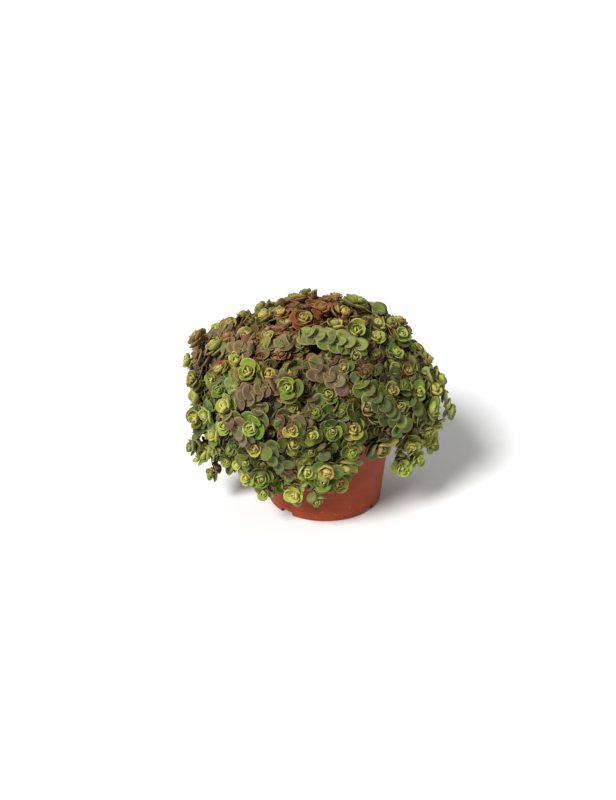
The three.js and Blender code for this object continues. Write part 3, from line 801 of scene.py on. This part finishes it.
def grow_head(piece, head):
    """A bud of folded leaves on the end of a twig, and under it the first open pairs."""
    centre, axis, radius = head.place, head.axis, head.radius

    def put(kind, age, rise, turn, recline, length):
        side = around_axis(axis, head.turn + turn)
        lean = radians(recline * head.openness)
        way = axis * cos(lean) + side * sin(lean)
        face = axis * sin(lean) - side * cos(lean)
        foot = centre + axis * (radius * rise) + side * (radius * 0.05)
        width = length * dice(1.04, 1.2)
        look = look_of(min(1.0, age + head.dullness), head.mood)
        add_leaf(piece, kind, foot, way, face, length, width, look)

    for k in range(BUD_LEAVES):
        share = k / (BUD_LEAVES - 1)
        put("heart" if share < 0.6 else "young", age=0.22 * share, rise=0.12 - 0.22 * share,
            turn=GOLDEN_ANGLE * k + dice(-10, 10), recline=4 + 46 * share + dice(-4, 4),
            length=radius * (0.38 + 0.44 * share) * dice(0.94, 1.08))
    for k in range(OPEN_LEAVES):
        put("young" if k < 2 else "grown", age=0.26 + 0.09 * k, rise=-0.16 - 0.05 * k,
            turn=40 + 180 * (k % 2) + 90 * (k // 2) + dice(-18, 18), recline=56 + 9 * k + dice(-10, 10),
            length=radius * (0.92 + 0.07 * k) * dice(0.9, 1.14))


def out_of_mound(point):
    """The way out of the mound at a point, as if it were an egg."""
    rise = (point.z - MOUND_MIDDLE) / MOUND_HIGH ** 2
    return Vector(((point.x - DOME_X) / MOUND_WIDE ** 2, point.y / MOUND_WIDE ** 2, rise)).normalized()


def grow_pairs(piece, path, spacing, length, mood,
               ages=(0.5, 1.0), sizes=(0.66, 1.12), loose=1.0, shade=0.36):
    """Full-grown leaves along a twig, from its tip back: a pair to the sides, then one that covers it."""
    walked, number = dice(0.3, 1.0) * spacing, 0
    for start, end in zip(path, path[1:]):
        piece_length = (end - start).length
        forward = (start - end).normalized()
        while walked < piece_length:
            node = start - forward * walked
            # painted shade: the further back from the twig's tip, the lower the leaf's light value
            deep = min(1.0, (node - path[0]).length / DEEP)
            shaded = (mood[0], mood[1], mood[2] - shade * deep)
            out = out_of_mound(node)
            across = forward.cross(out).normalized()
            up = across.cross(forward)
            top = [(up, TOP_RECLINE, TOP_STEP_BACK)]
            pair = [(across, SIDE_RECLINE, 0), (-across, SIDE_RECLINE, 0)]
            for side, recline, step_back in top if number % 2 else pair:
                sway = across * dice(-0.5, 0.5) + up * dice(-0.5, 0.5)
                side = (side + sway * loose).normalized()
                lean = radians(recline + dice(-18, 18) * loose)
                ahead = side * sin(lean) + forward * cos(lean)
                face = out + forward * dice(0.0, 0.5) + sway * (0.7 * loose)
                foot = node - side * 1.2 - forward * step_back
                size = length * dice(*sizes)
                width = size * dice(0.98, 1.12)
                add_leaf(piece, "old", foot, ahead, face, size, width, look_of(dice(*ages), shaded))
            walked += spacing * dice(0.85, 1.15)
            number += 1
        walked -= piece_length


# %% [markdown]
# ## Stems and twigs
# A stem is a ring of edges that is extruded from point to point of a smooth path. It tapers and has
# slight swellings where leaves once sat.

# %% Extrude a stem along a path
KNUCKLE = 1.12


def smooth_path(points, fineness):
    """A curve through the points, with some steps between each two."""
    ghosts = [points[0] * 2 - points[1], *points, points[-1] * 2 - points[-2]]
    path = []
    for a, b, c, d in zip(ghosts, ghosts[1:], ghosts[2:], ghosts[3:]):
        for k in range(fineness):
            t = k / fineness
            path.append(0.5 * (b * 2 + (c - a) * t + (a * 2 - b * 5 + c * 4 - d) * t ** 2
                               + (b * 3 - a - c * 3 + d) * t ** 3))
    return path + [points[-1].copy()]


def extrude_stem(piece, path, thick, thin, sides=8):
    growth, blade_place = (piece.verts.layers.float_vector[name] for name in (GROWTH, BLADE))
    ring = bmesh.ops.create_circle(piece, cap_ends=True, segments=sides, radius=1)["verts"]
    edges = list({edge for vert in ring for edge in vert.link_edges})
    everything = list(ring)
    for i, point in enumerate(path):
        before, after = path[max(i - 1, 0)], path[min(i + 1, len(path) - 1)]
        way = (after - before).normalized()
        size = (thick + (thin - thick) * i / (len(path) - 1)) * (KNUCKLE if i % 4 == 2 else 1.0)
        if i == 0:
            level = way.orthogonal().normalized()
            turn = Matrix((level, way.cross(level), way)).transposed().to_4x4()
            move = Matrix.Translation(point) @ turn @ Matrix.Diagonal((size, size, size, 1))
        else:
            grown = bmesh.ops.extrude_edge_only(piece, edges=edges)["geom"]
            ring = [item for item in grown if isinstance(item, bmesh.types.BMVert)]
            edges = [item for item in grown if isinstance(item, bmesh.types.BMEdge)
                     and all(vert in set(ring) for vert in item.verts)]
            everything += ring
            centre = sum((vert.co for vert in ring), Vector()) / sides
            turn = before_way.rotation_difference(way).to_matrix().to_4x4()
            grow = Matrix.Scale(size / last_size, 4)
            move = Matrix.Translation(point) @ turn @ grow @ Matrix.Translation(-centre)
        bmesh.ops.transform(piece, matrix=move, verts=ring)
        before_way, last_size = way, size
    cap = bmesh.ops.contextual_create(piece, geom=edges)["faces"]
    faces = {face for vert in everything for face in vert.link_faces} | set(cap)
    bmesh.ops.recalc_face_normals(piece, faces=list(faces))
    for face in faces:
        face.material_index = 1
    for vert in everything:
        vert[growth] = (1.0, 0.5, 0.5)
        vert[blade_place] = (0.0, 0.0, 0.5)


# %% [markdown]
# ## Growing the shoots
# A shoot is one piece: stem, twigs, heads and the older leaves along them. It replaces the plain solid
# of the same number, so it is grown on the same stem and towards the same rosettes.

# %% Grow every shoot
STEM_THICK = 1.5
TWIG_THICK = 1.1
TWIG_THIN = 0.8
TWIG_STEPS = 4
TWIG_BENDS = [(17, 6), (8, 1.5)]
LEAFY_STEPS, SIDE_LEAFY_STEPS = 10, 9
OLD_LEAF = 11.0
HEAD_GAP = 3.3
RUNNER_GAP = 3.8
CURTAIN_GAP = 3.6
LONG_STEM_GAP, MOUND_STEM_GAP = 4.2, 6.0
CURTAIN_BELOW = 124


def as_mesh(piece, name):
    mesh = bpy.data.meshes.new(name)
    piece.to_mesh(mesh)
    piece.free()
    return mesh


def finish_piece(name, piece, materials, slot, *nodes):
    """Turns a bmesh in millimetres into a smooth object in metres that rides on the pot's body."""
    bmesh.ops.scale(piece, vec=(MM, MM, MM), verts=piece.verts)
    for face in piece.faces:
        face.smooth = True
    made = add_object(name, as_mesh(piece, name))
    for material in materials:
        made.data.materials.append(material)
    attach(made, "root")
    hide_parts(*nodes)
    return made


def lay_twig(head, shoot):
    """From the fork up to the light uphill of the head, then down to it along the mound."""
    foot = head.place - head.axis * head.radius * 0.26
    bends = [foot - head.trail * back - head.rosette.out * below for back, below in TWIG_BENDS]
    return smooth_path([shoot.fork - shoot.out * 0.4, *bends, foot], TWIG_STEPS)


def hang_curtain(piece, stem):
    """A short side twig with dull leaves that hides the pot's wall just under the rim."""
    start = min(stem, key=lambda point: abs(hypot(*point.xy) - RIM_RADIUS - 3) + abs(point.z - POT_HEIGHT))
    radial = Vector((start.x, start.y, 0)).normalized()
    azimuth = degrees(atan2(start.y, start.x))
    across = radial.cross(UP) * dice(-6, 6)
    drop = max(8, (start.z - float(around(HEM, azimuth))) * dice(0.35, 0.85))
    bend = start + radial * 6 - UP * (0.3 * drop) + across * 0.4
    twig = smooth_path([start, bend, start + radial * 8 - UP * drop + across], TWIG_STEPS)
    extrude_stem(piece, twig, TWIG_THICK, TWIG_THIN, sides=6)
    mood = (0.05, tone_at(start), dice(0.35, 0.6))
    grow_pairs(piece, list(reversed(twig)), CURTAIN_GAP, OLD_LEAF, mood, (0.45, 1.0))


def grow_shoot(number, shoot, materials):
    piece = new_piece()
    stem = smooth_path(shoot.stem, TWIG_STEPS)
    extrude_stem(piece, stem, STEM_THICK, TWIG_THICK)
    for head in heads:
        if any(head.rosette is tip for tip in shoot.tips):
            twig = lay_twig(head, shoot)
            extrude_stem(piece, twig, TWIG_THICK, TWIG_THIN, sides=6)
            grow_head(piece, head)
            back = list(reversed(twig))[:SIDE_LEAFY_STEPS if head.side else LEAFY_STEPS]
            grow_pairs(piece, back, HEAD_GAP, OLD_LEAF, head.mood)
    for runner in runners:
        if runner.host is shoot:
            line = runner.line
            dive = line[0] - out_of_mound(line[0]) * 8 - (line[1] - line[0]).normalized() * 6
            twig = smooth_path([shoot.fork - shoot.out * 0.4, dive, *line], TWIG_STEPS)
            extrude_stem(piece, twig, TWIG_THICK, TWIG_THIN, sides=6)
            row = list(reversed(twig))[:TWIG_STEPS * len(line) + 1]
            grow_pairs(piece, row, RUNNER_GAP, runner.leaf, runner.mood, ages=(0.6, 1.0),
                       sizes=(0.72, 1.06), loose=0.5, shade=0.0)
    bare = [point for point in reversed(stem)
            if point.z > POT_HEIGHT - 2 or hypot(*point.xy) > RIM_RADIUS]
    # a low light value on the mound shoots paints their inner leaves dark: painted shade under the canopy,
    # as well as the dark colour of old leaves
    if number < len(LONG_SHOOTS):
        gap, light, ages = LONG_STEM_GAP, 0.55, (0.5, 0.95)
    else:
        gap, light, ages = MOUND_STEM_GAP, 0.1, (0.75, 1.0)
    grow_pairs(piece, bare[1:], gap, OLD_LEAF, (0.1, tone_at(bare[0]), light), ages)
    if shoot.fork.z < CURTAIN_BELOW:
        hang_curtain(piece, stem)
    return finish_piece(f"leafy_{shoot_name(number)}", piece, materials, "foliage", shoot_name(number))


def shoot_name(number):
    return f"shoot_{number + 1:02d}"


# %% [markdown]
# ## The finish of the leaves
# A leaf is yellow-green while it is folded in the bud, fresh green when it opens and grey-green or
# dusty purple when old. Sun adds bronze. A low light value darkens a leaf, which is painted shade as
# well as its own tone, and painted shade darkens the base of the young leaves and the middle of an old
# leaf. The margin is a fine line, pale or pinkish, and a powdery bloom makes old leaves dull. All of it
# follows the leaf's attributes.

# %% Mix the leaf's colours
leaf = Finish("sedum_leaf", {"Specular IOR Level": 0.22})
rim, back, along = leaf.parts_of(BLADE)
age, sun, tone = leaf.parts_of(GROWTH)
light, redden, glow = leaf.parts_of(SHADE_AND_OWN)

mottle = leaf.grain(420, 3.0, 0.6)
patches = leaf.grain(95, 2.0, 0.5)
bloom = leaf.grain(2600, 2.0, 0.7)

AGE_COLOURS = [
    (0.00, paint(216, 212, 104)), (0.14, paint(188, 192, 80)), (0.30, paint(142, 158, 54)),
    (0.50, paint(92, 116, 38)), (0.75, paint(66, 86, 34)), (1.00, paint(58, 70, 34))]
young = 1 - age.ramp(0.16, 0.42)
oldness = age.ramp(0.45, 0.85)
colour = leaf.node("ShaderNodeValToRGB", {"stops": AGE_COLOURS}, {0: age + (mottle - 0.5) * 0.16})
bronze_share = sun * (0.30 + age * 0.9 + rim ** 3 * 0.35) * (0.55 + patches * 0.9)
ripe = leaf.mix(young, paint(132, 70, 32), paint(186, 140, 56))
pale = leaf.mix(tone.ramp(0.4, 0.8), paint(198, 182, 106), paint(204, 160, 118))
LAYERS = {  # from the lowest to the topmost: how much of it shows, and its colour
    # painted shade at the base of the young leaves, where they sit deep in the bud
    "throat shade": (young * (1 - along.ramp(0.15, 0.7)) * 0.65, paint(92, 112, 30)),
    "leafy": ((1 - age.ramp(0.3, 0.8)) * (1 - glow.ramp(0.08, 0.42)) * 0.62, paint(92, 142, 46)),
    "peach": (young * glow.ramp(0.66, 0.95) * 0.6, paint(212, 162, 92)),
    "grey green": (oldness * light * 0.85, paint(94, 110, 68)),
    "purple": (oldness * tone.ramp(0.45, 0.85) * 0.9, paint(104, 76, 62)),
    "bronze": (bronze_share.ramp(0.2, 0.9), ripe),
    "blush": (rim.ramp(0.66, 1.0) * redden * (0.25 + sun * 0.6), paint(136, 60, 40)),
    # dim and bright follow the leaf's light value: painted shade in the front hollow and deep in the mound,
    # together with the leaf's own tone
    "dim": ((1 - light.ramp(0.0, 0.62)) * 0.66, paint(38, 34, 18)),
    "bright": (light.ramp(0.45, 1.0) * (0.44 - oldness * 0.16), paint(190, 196, 90)),
    # painted shade in the cupped middle of an old leaf
    "middle shade": ((1 - rim.ramp(0.1, 0.85)) * oldness * 0.34, paint(44, 44, 26)),
    "bud rim": (young * rim.ramp(0.82, 0.98) * 0.45, paint(228, 224, 142)),
    "margin": (rim.ramp(0.86, 1.0) * (0.46 + tone * 0.16 - sun * 0.16) * (0.5 + light * 0.6), pale),
    "underside": (back * 0.4, paint(112, 86, 62)),
    "powder": (bloom.ramp(0.52, 0.72) * (0.05 + oldness * 0.16), paint(176, 176, 138))}
for share, tint in LAYERS.values():
    colour = leaf.mix(share, colour, tint)
leaf.feed("Base Color", colour)
leaf.feed("Roughness", 0.38 + oldness * 0.20 + (mottle - 0.5) * 0.14)
leaf.bump(mottle * 0.6 + bloom * 0.4, 0.35, 0.0004)

# %% Mix the stem's colours
stalk = Finish("sedum_stem", {"Specular IOR Level": 0.3})
streaks = stalk.grain(700, 3.0, 0.6)
stalk_colour = stalk.mix(streaks.ramp(0.35, 0.7), paint(98, 68, 44), paint(124, 106, 54))
stalk.feed("Base Color", stalk_colour)
stalk.feed("Roughness", 0.55 + (streaks - 0.5) * 0.2)
stalk.bump(streaks, 0.4, 0.0004)

# %% Make the pieces
plant_materials = [leaf.material, stalk.material]
leafy = [grow_shoot(number, shoot, plant_materials) for number, shoot in enumerate(shoots)]
triangles = [sum(len(face.vertices) - 2 for face in made.data.polygons) for made in leafy]
print(len(leafy), "leafy shoots,", sum(triangles), "triangles, the largest", max(triangles))

# %% [markdown]
# ## The pot
# The pot is one thin moulding. Its wall is a profile spun round the axis, with rounded corners because
# a mould has no knife edges. Four drain notches with their hollow houses are joined and cut as solids.

# %% Spin the pot
RIM_BAND = 11
BAND_STEP = 1.6
FOOT_RADIUS = 49
WALL = 1.5
NOTCH_COUNT = 4
NOTCH_WIDTH = 12
NOTCH_HEIGHT = 4.5
NOTCH_DEPTH = 11
FIRST_NOTCH = 229
DRAIN_RADIUS = 3
POT_STEPS = 128
SHARP_CORNER = 38


def wall_radius(height):
    return FOOT_RADIUS + (RIM_RADIUS - BAND_STEP - FOOT_RADIUS) * (height / POT_HEIGHT)


def spin_profile(outline, steps):
    """A closed solid: the outline runs from the axis round to the axis again."""
    piece = bmesh.new()
    corners = [piece.verts.new((radius, 0, height)) for radius, height in outline]
    edges = [piece.edges.new(pair) for pair in zip(corners, corners[1:])]
    bmesh.ops.spin(piece, geom=corners + edges, cent=(0, 0, 0), axis=(0, 0, 1),
                   angle=tau, steps=steps, use_merge=True)
    bmesh.ops.remove_doubles(piece, verts=piece.verts, dist=1e-4)
    bmesh.ops.recalc_face_normals(piece, faces=piece.faces)
    return piece


def carve(mesh, tool, operation):
    """Joins a tool to a mesh or cuts it away, and gives the new mesh."""
    body, knife = (add_object(part.name, part) for part in (mesh, tool))
    modifier = body.modifiers.new("carve", "BOOLEAN")
    modifier.operation, modifier.solver, modifier.object = operation, "EXACT", knife
    bpy.context.view_layer.update()
    result = bpy.data.meshes.new_from_object(body.evaluated_get(bpy.context.evaluated_depsgraph_get()))
    for made in (body, knife):
        bpy.data.objects.remove(made)
    return result


def notch_tool(width, depth, height, middle, centre_z, azimuth):
    piece = bmesh.new()
    bmesh.ops.create_cube(piece, size=1)
    bmesh.ops.scale(piece, vec=(depth, width, height), verts=piece.verts)
    bmesh.ops.translate(piece, vec=(middle, 0, centre_z), verts=piece.verts)
    bmesh.ops.rotate(piece, verts=piece.verts, matrix=Matrix.Rotation(radians(azimuth), 3, "Z"))
    return as_mesh(piece, "notch_tool")


band_foot = POT_HEIGHT - RIM_BAND
pot_outline = [
    (0, 0), (FOOT_RADIUS - 2.2, 0), (FOOT_RADIUS - 0.9, 0.25), (FOOT_RADIUS - 0.15, 1.0),
    (wall_radius(3), 3), (wall_radius(30), 30), (wall_radius(60), 60),
    (wall_radius(band_foot - 0.8), band_foot - 0.8), (wall_radius(band_foot) + 0.25, band_foot - 0.1),
    (RIM_RADIUS - 0.75, band_foot + 0.25), (RIM_RADIUS - 0.4, band_foot + 0.7),
    (RIM_RADIUS - 0.1, POT_HEIGHT - 2.2), (RIM_RADIUS, POT_HEIGHT - 1.0),
    (RIM_RADIUS - 0.3, POT_HEIGHT - 0.3), (RIM_RADIUS - 0.9, POT_HEIGHT),
    (wall_radius(POT_HEIGHT) - WALL + 0.5, POT_HEIGHT),
    (wall_radius(POT_HEIGHT) - WALL, POT_HEIGHT - 0.5), (wall_radius(band_foot) - WALL, band_foot),
    (wall_radius(30) - WALL, 30), (FOOT_RADIUS - WALL, WALL + 1), (FOOT_RADIUS - WALL - 1, WALL), (0, WALL)]
pot_mesh = as_mesh(spin_profile(pot_outline, POT_STEPS), "moulding")
inner = FOOT_RADIUS - NOTCH_DEPTH
outer = FOOT_RADIUS + 1
middle = inner + NOTCH_DEPTH / 2 - WALL
notch_turns = [FIRST_NOTCH + 360 * number / NOTCH_COUNT for number in range(NOTCH_COUNT)]
for turn in notch_turns:
    house = notch_tool(NOTCH_WIDTH + 2 * WALL, NOTCH_DEPTH, NOTCH_HEIGHT + WALL,
                       middle, (NOTCH_HEIGHT + WALL) / 2 + 0.01, turn)
    pot_mesh = carve(pot_mesh, house, "UNION")
for turn in notch_turns:
    slot = notch_tool(NOTCH_WIDTH, outer - inner, NOTCH_HEIGHT + 1,
                      (inner + outer) / 2, (NOTCH_HEIGHT - 1) / 2, turn)
    drain = bmesh.new()
    bmesh.ops.create_cone(drain, cap_ends=True, segments=24, radius1=DRAIN_RADIUS,
                          radius2=DRAIN_RADIUS, depth=4 * WALL)
    angle = radians(turn)
    bmesh.ops.translate(drain, verts=drain.verts, vec=(
        middle * cos(angle), middle * sin(angle), NOTCH_HEIGHT + WALL / 2))
    pot_mesh = carve(carve(pot_mesh, slot, "DIFFERENCE"), as_mesh(drain, "drain"), "DIFFERENCE")
print("pot:", len(pot_mesh.polygons), "faces")

# %% [markdown]
# The plastic is dyed through, satin rather than glossy. It shows faint rings and flow marks from the
# mould, a fine grain, pale scuffs near the foot and a little dried compost dust under the rim.

# %% Finish the pot
plastic = Finish("terracotta_plastic", {"Specular IOR Level": 0.18})
grain = plastic.grain(2200, 2.0, 0.6)
clouds = plastic.grain(38, 3.0, 0.55)
spot = plastic.node("ShaderNodeTexCoord", {}, {}, "Object")
stretched = plastic.node("ShaderNodeMapping", {"vector_type": "POINT"}, {0: spot, 3: (26, 26, 520)})
rings = plastic.node("ShaderNodeTexNoise", {}, {"Vector": stretched, "Scale": 1.0, "Detail": 2.0})
height = plastic.node("ShaderNodeSeparateXYZ", {}, {0: spot}, 2)
scuff_noise = plastic.grain(260, 4.0, 0.7)
foot_wear = (1 - height.ramp(0.0, 0.03)) * scuff_noise.ramp(0.56, 0.70)
dust = height.ramp(0.055, 0.092) * clouds.ramp(0.45, 0.7)
base = plastic.mix(clouds.ramp(0.3, 0.7), paint(136, 52, 22), paint(150, 61, 29))
ringed = plastic.mix(rings.ramp(0.45, 0.75) * 0.22, base, paint(170, 80, 48))
dusty = plastic.mix(dust * 0.30, ringed, paint(120, 82, 56))
worn = plastic.mix(foot_wear * 0.45, dusty, paint(196, 128, 98))
plastic.feed("Base Color", worn)
plastic.feed("Roughness", 0.50 + foot_wear * 0.2 + dust * 0.16 + (grain - 0.5) * 0.10)
plastic.bump(grain * 0.5 + rings * 0.5, 0.25, 0.0003)

pot_piece = bmesh.new()
pot_piece.from_mesh(pot_mesh)
bmesh.ops.remove_doubles(pot_piece, verts=pot_piece.verts, dist=1e-3)
pot = finish_piece("nursery_pot", pot_piece, [plastic.material], "pot", "pot")
pot.data.set_sharp_from_angle(angle=radians(SHARP_CORNER))
print("pot box:", [round(x, 4) for x in pot.dimensions])

# %% [markdown]
# ## The compost
# Peat with bark crumbs fills the pot to a centimetre under the rim. A spun puck gives the fill, its top
# is roughened with noise, and lumps of several sizes are strewn over it.

# %% Fill the pot
CRUMBS = 260
SOIL_GAP = 0.6
SOIL_FOOT = 9
SOIL_RINGS = 26
SOIL_STEPS = 96


def fill_radius(height):
    return wall_radius(height) - WALL - SOIL_GAP


def crumbly_height(x, y):
    spot = Vector((x, y, 0))
    return 1.6 * noise.noise(spot * 0.09) + 0.9 * noise.noise(spot * 0.33) + 0.5 * noise.noise(spot * 0.8)


fill = fill_radius(SOIL_TOP)
rings_of_top = [(fill * k / SOIL_RINGS, SOIL_TOP - 1.5) for k in range(SOIL_RINGS - 1, -1, -1)]
soil_piece = spin_profile([
    (0, SOIL_FOOT), (fill_radius(SOIL_FOOT), SOIL_FOOT), (fill_radius(40), 40),
    (fill, SOIL_TOP - 2.2), *rings_of_top], SOIL_STEPS)
for vert in soil_piece.verts:
    if vert.co.z > SOIL_TOP - 2:
        vert.co.z += crumbly_height(vert.co.x, vert.co.y)
for _ in range(CRUMBS):
    far, turn, size = (fill - 2) * sqrt(dice(0, 1)), dice(0, tau), dice(0.7, 2.4)
    x, y = far * cos(turn), far * sin(turn)
    lump = bmesh.ops.create_icosphere(soil_piece, subdivisions=1, radius=size)["verts"]
    bmesh.ops.scale(soil_piece, vec=(dice(0.7, 1.2), dice(0.5, 1.1), dice(0.4, 0.8)), verts=lump)
    bmesh.ops.rotate(soil_piece, verts=lump, matrix=Matrix.Rotation(dice(0, 6), 3, (dice(0, 1), 1, 0.4)))
    bmesh.ops.translate(soil_piece, verts=lump, vec=(x, y, SOIL_TOP - 1.5 + crumbly_height(x, y)))

peat = Finish("damp_compost", {"Specular IOR Level": 0.2})
crumbs = peat.grain(900, 4.0, 0.7)
fibres = peat.grain(240, 3.0, 0.6)
dark = peat.mix(crumbs.ramp(0.35, 0.7), paint(40, 28, 20), paint(74, 54, 38))
peat.feed("Base Color", peat.mix(fibres.ramp(0.6, 0.75) * 0.5, dark, paint(112, 84, 56)))
peat.feed("Roughness", 0.82 + (crumbs - 0.5) * 0.2)
peat.bump(crumbs, 0.8, 0.0012)
soil = finish_piece("compost", soil_piece, [peat.material], "soil", "soil")
print("compost:", len(soil.data.polygons), "faces")

# %% [markdown]
# ## Floor and light
# The floor is pale and fills the view. One soft lamp shines from the left front, as in the photograph,
# and two weak ones from the right and from behind. The camera sees a white surround, which gives the
# plant far less light than it seems to, so that the hollows stay dark.

# %% Set the stage
SURROUND_LIGHT = 0.23
SURROUND_SEEN = 0.95
FLOOR_HALF = 20
LAMPS = [  # name, azimuth, height in degrees, strength, softness in degrees
    ("key", 36, 42, 4.35, 20),
    ("side_fill", -70, 35, 0.12, 40),
    ("back_fill", 176, 46, 0.6, 50)]

floor_piece = bmesh.new()
bmesh.ops.create_grid(floor_piece, x_segments=1, y_segments=1, size=FLOOR_HALF)
floor = add_object("floor", as_mesh(floor_piece, "floor"))
paper = Finish("pale_paper", {
    "Base Color": paint(246, 246, 246), "Roughness": 0.9, "Specular IOR Level": 0.1})
floor.data.materials.append(paper.material)

world = bpy.data.worlds.new("studio")
world.use_nodes = True
surround = world.node_tree.nodes["Background"]
surround.inputs["Color"].default_value = (1.0, 1.0, 1.0, 1.0)
seen = world.node_tree.nodes.new("ShaderNodeLightPath").outputs["Is Camera Ray"]
shown = world.node_tree.nodes.new("ShaderNodeMapRange")
shown.inputs["To Min"].default_value = SURROUND_LIGHT
shown.inputs["To Max"].default_value = SURROUND_SEEN
world.node_tree.links.new(seen, shown.inputs["Value"])
world.node_tree.links.new(shown.outputs["Result"], surround.inputs["Strength"])
bpy.context.scene.world = world


def hang_sun(name, azimuth, rise, strength, softness):
    """A far lamp: azimuth 0 is the viewer's side and 90 the viewer's left."""
    lamp = add_object(name, bpy.data.lights.new(name, "SUN"))
    turn, up = radians(azimuth), radians(rise)
    towards = Vector((-sin(turn) * cos(up), -cos(turn) * cos(up), sin(up)))
    lamp.rotation_euler = (-towards).to_track_quat("-Z", "Y").to_euler()
    lamp.data.energy = strength
    lamp.data.angle = radians(softness)


for lamp in LAMPS:
    hang_sun(*lamp)
bpy.context.scene.view_settings.view_transform = "Standard"
bpy.context.scene.view_settings.look = "None"
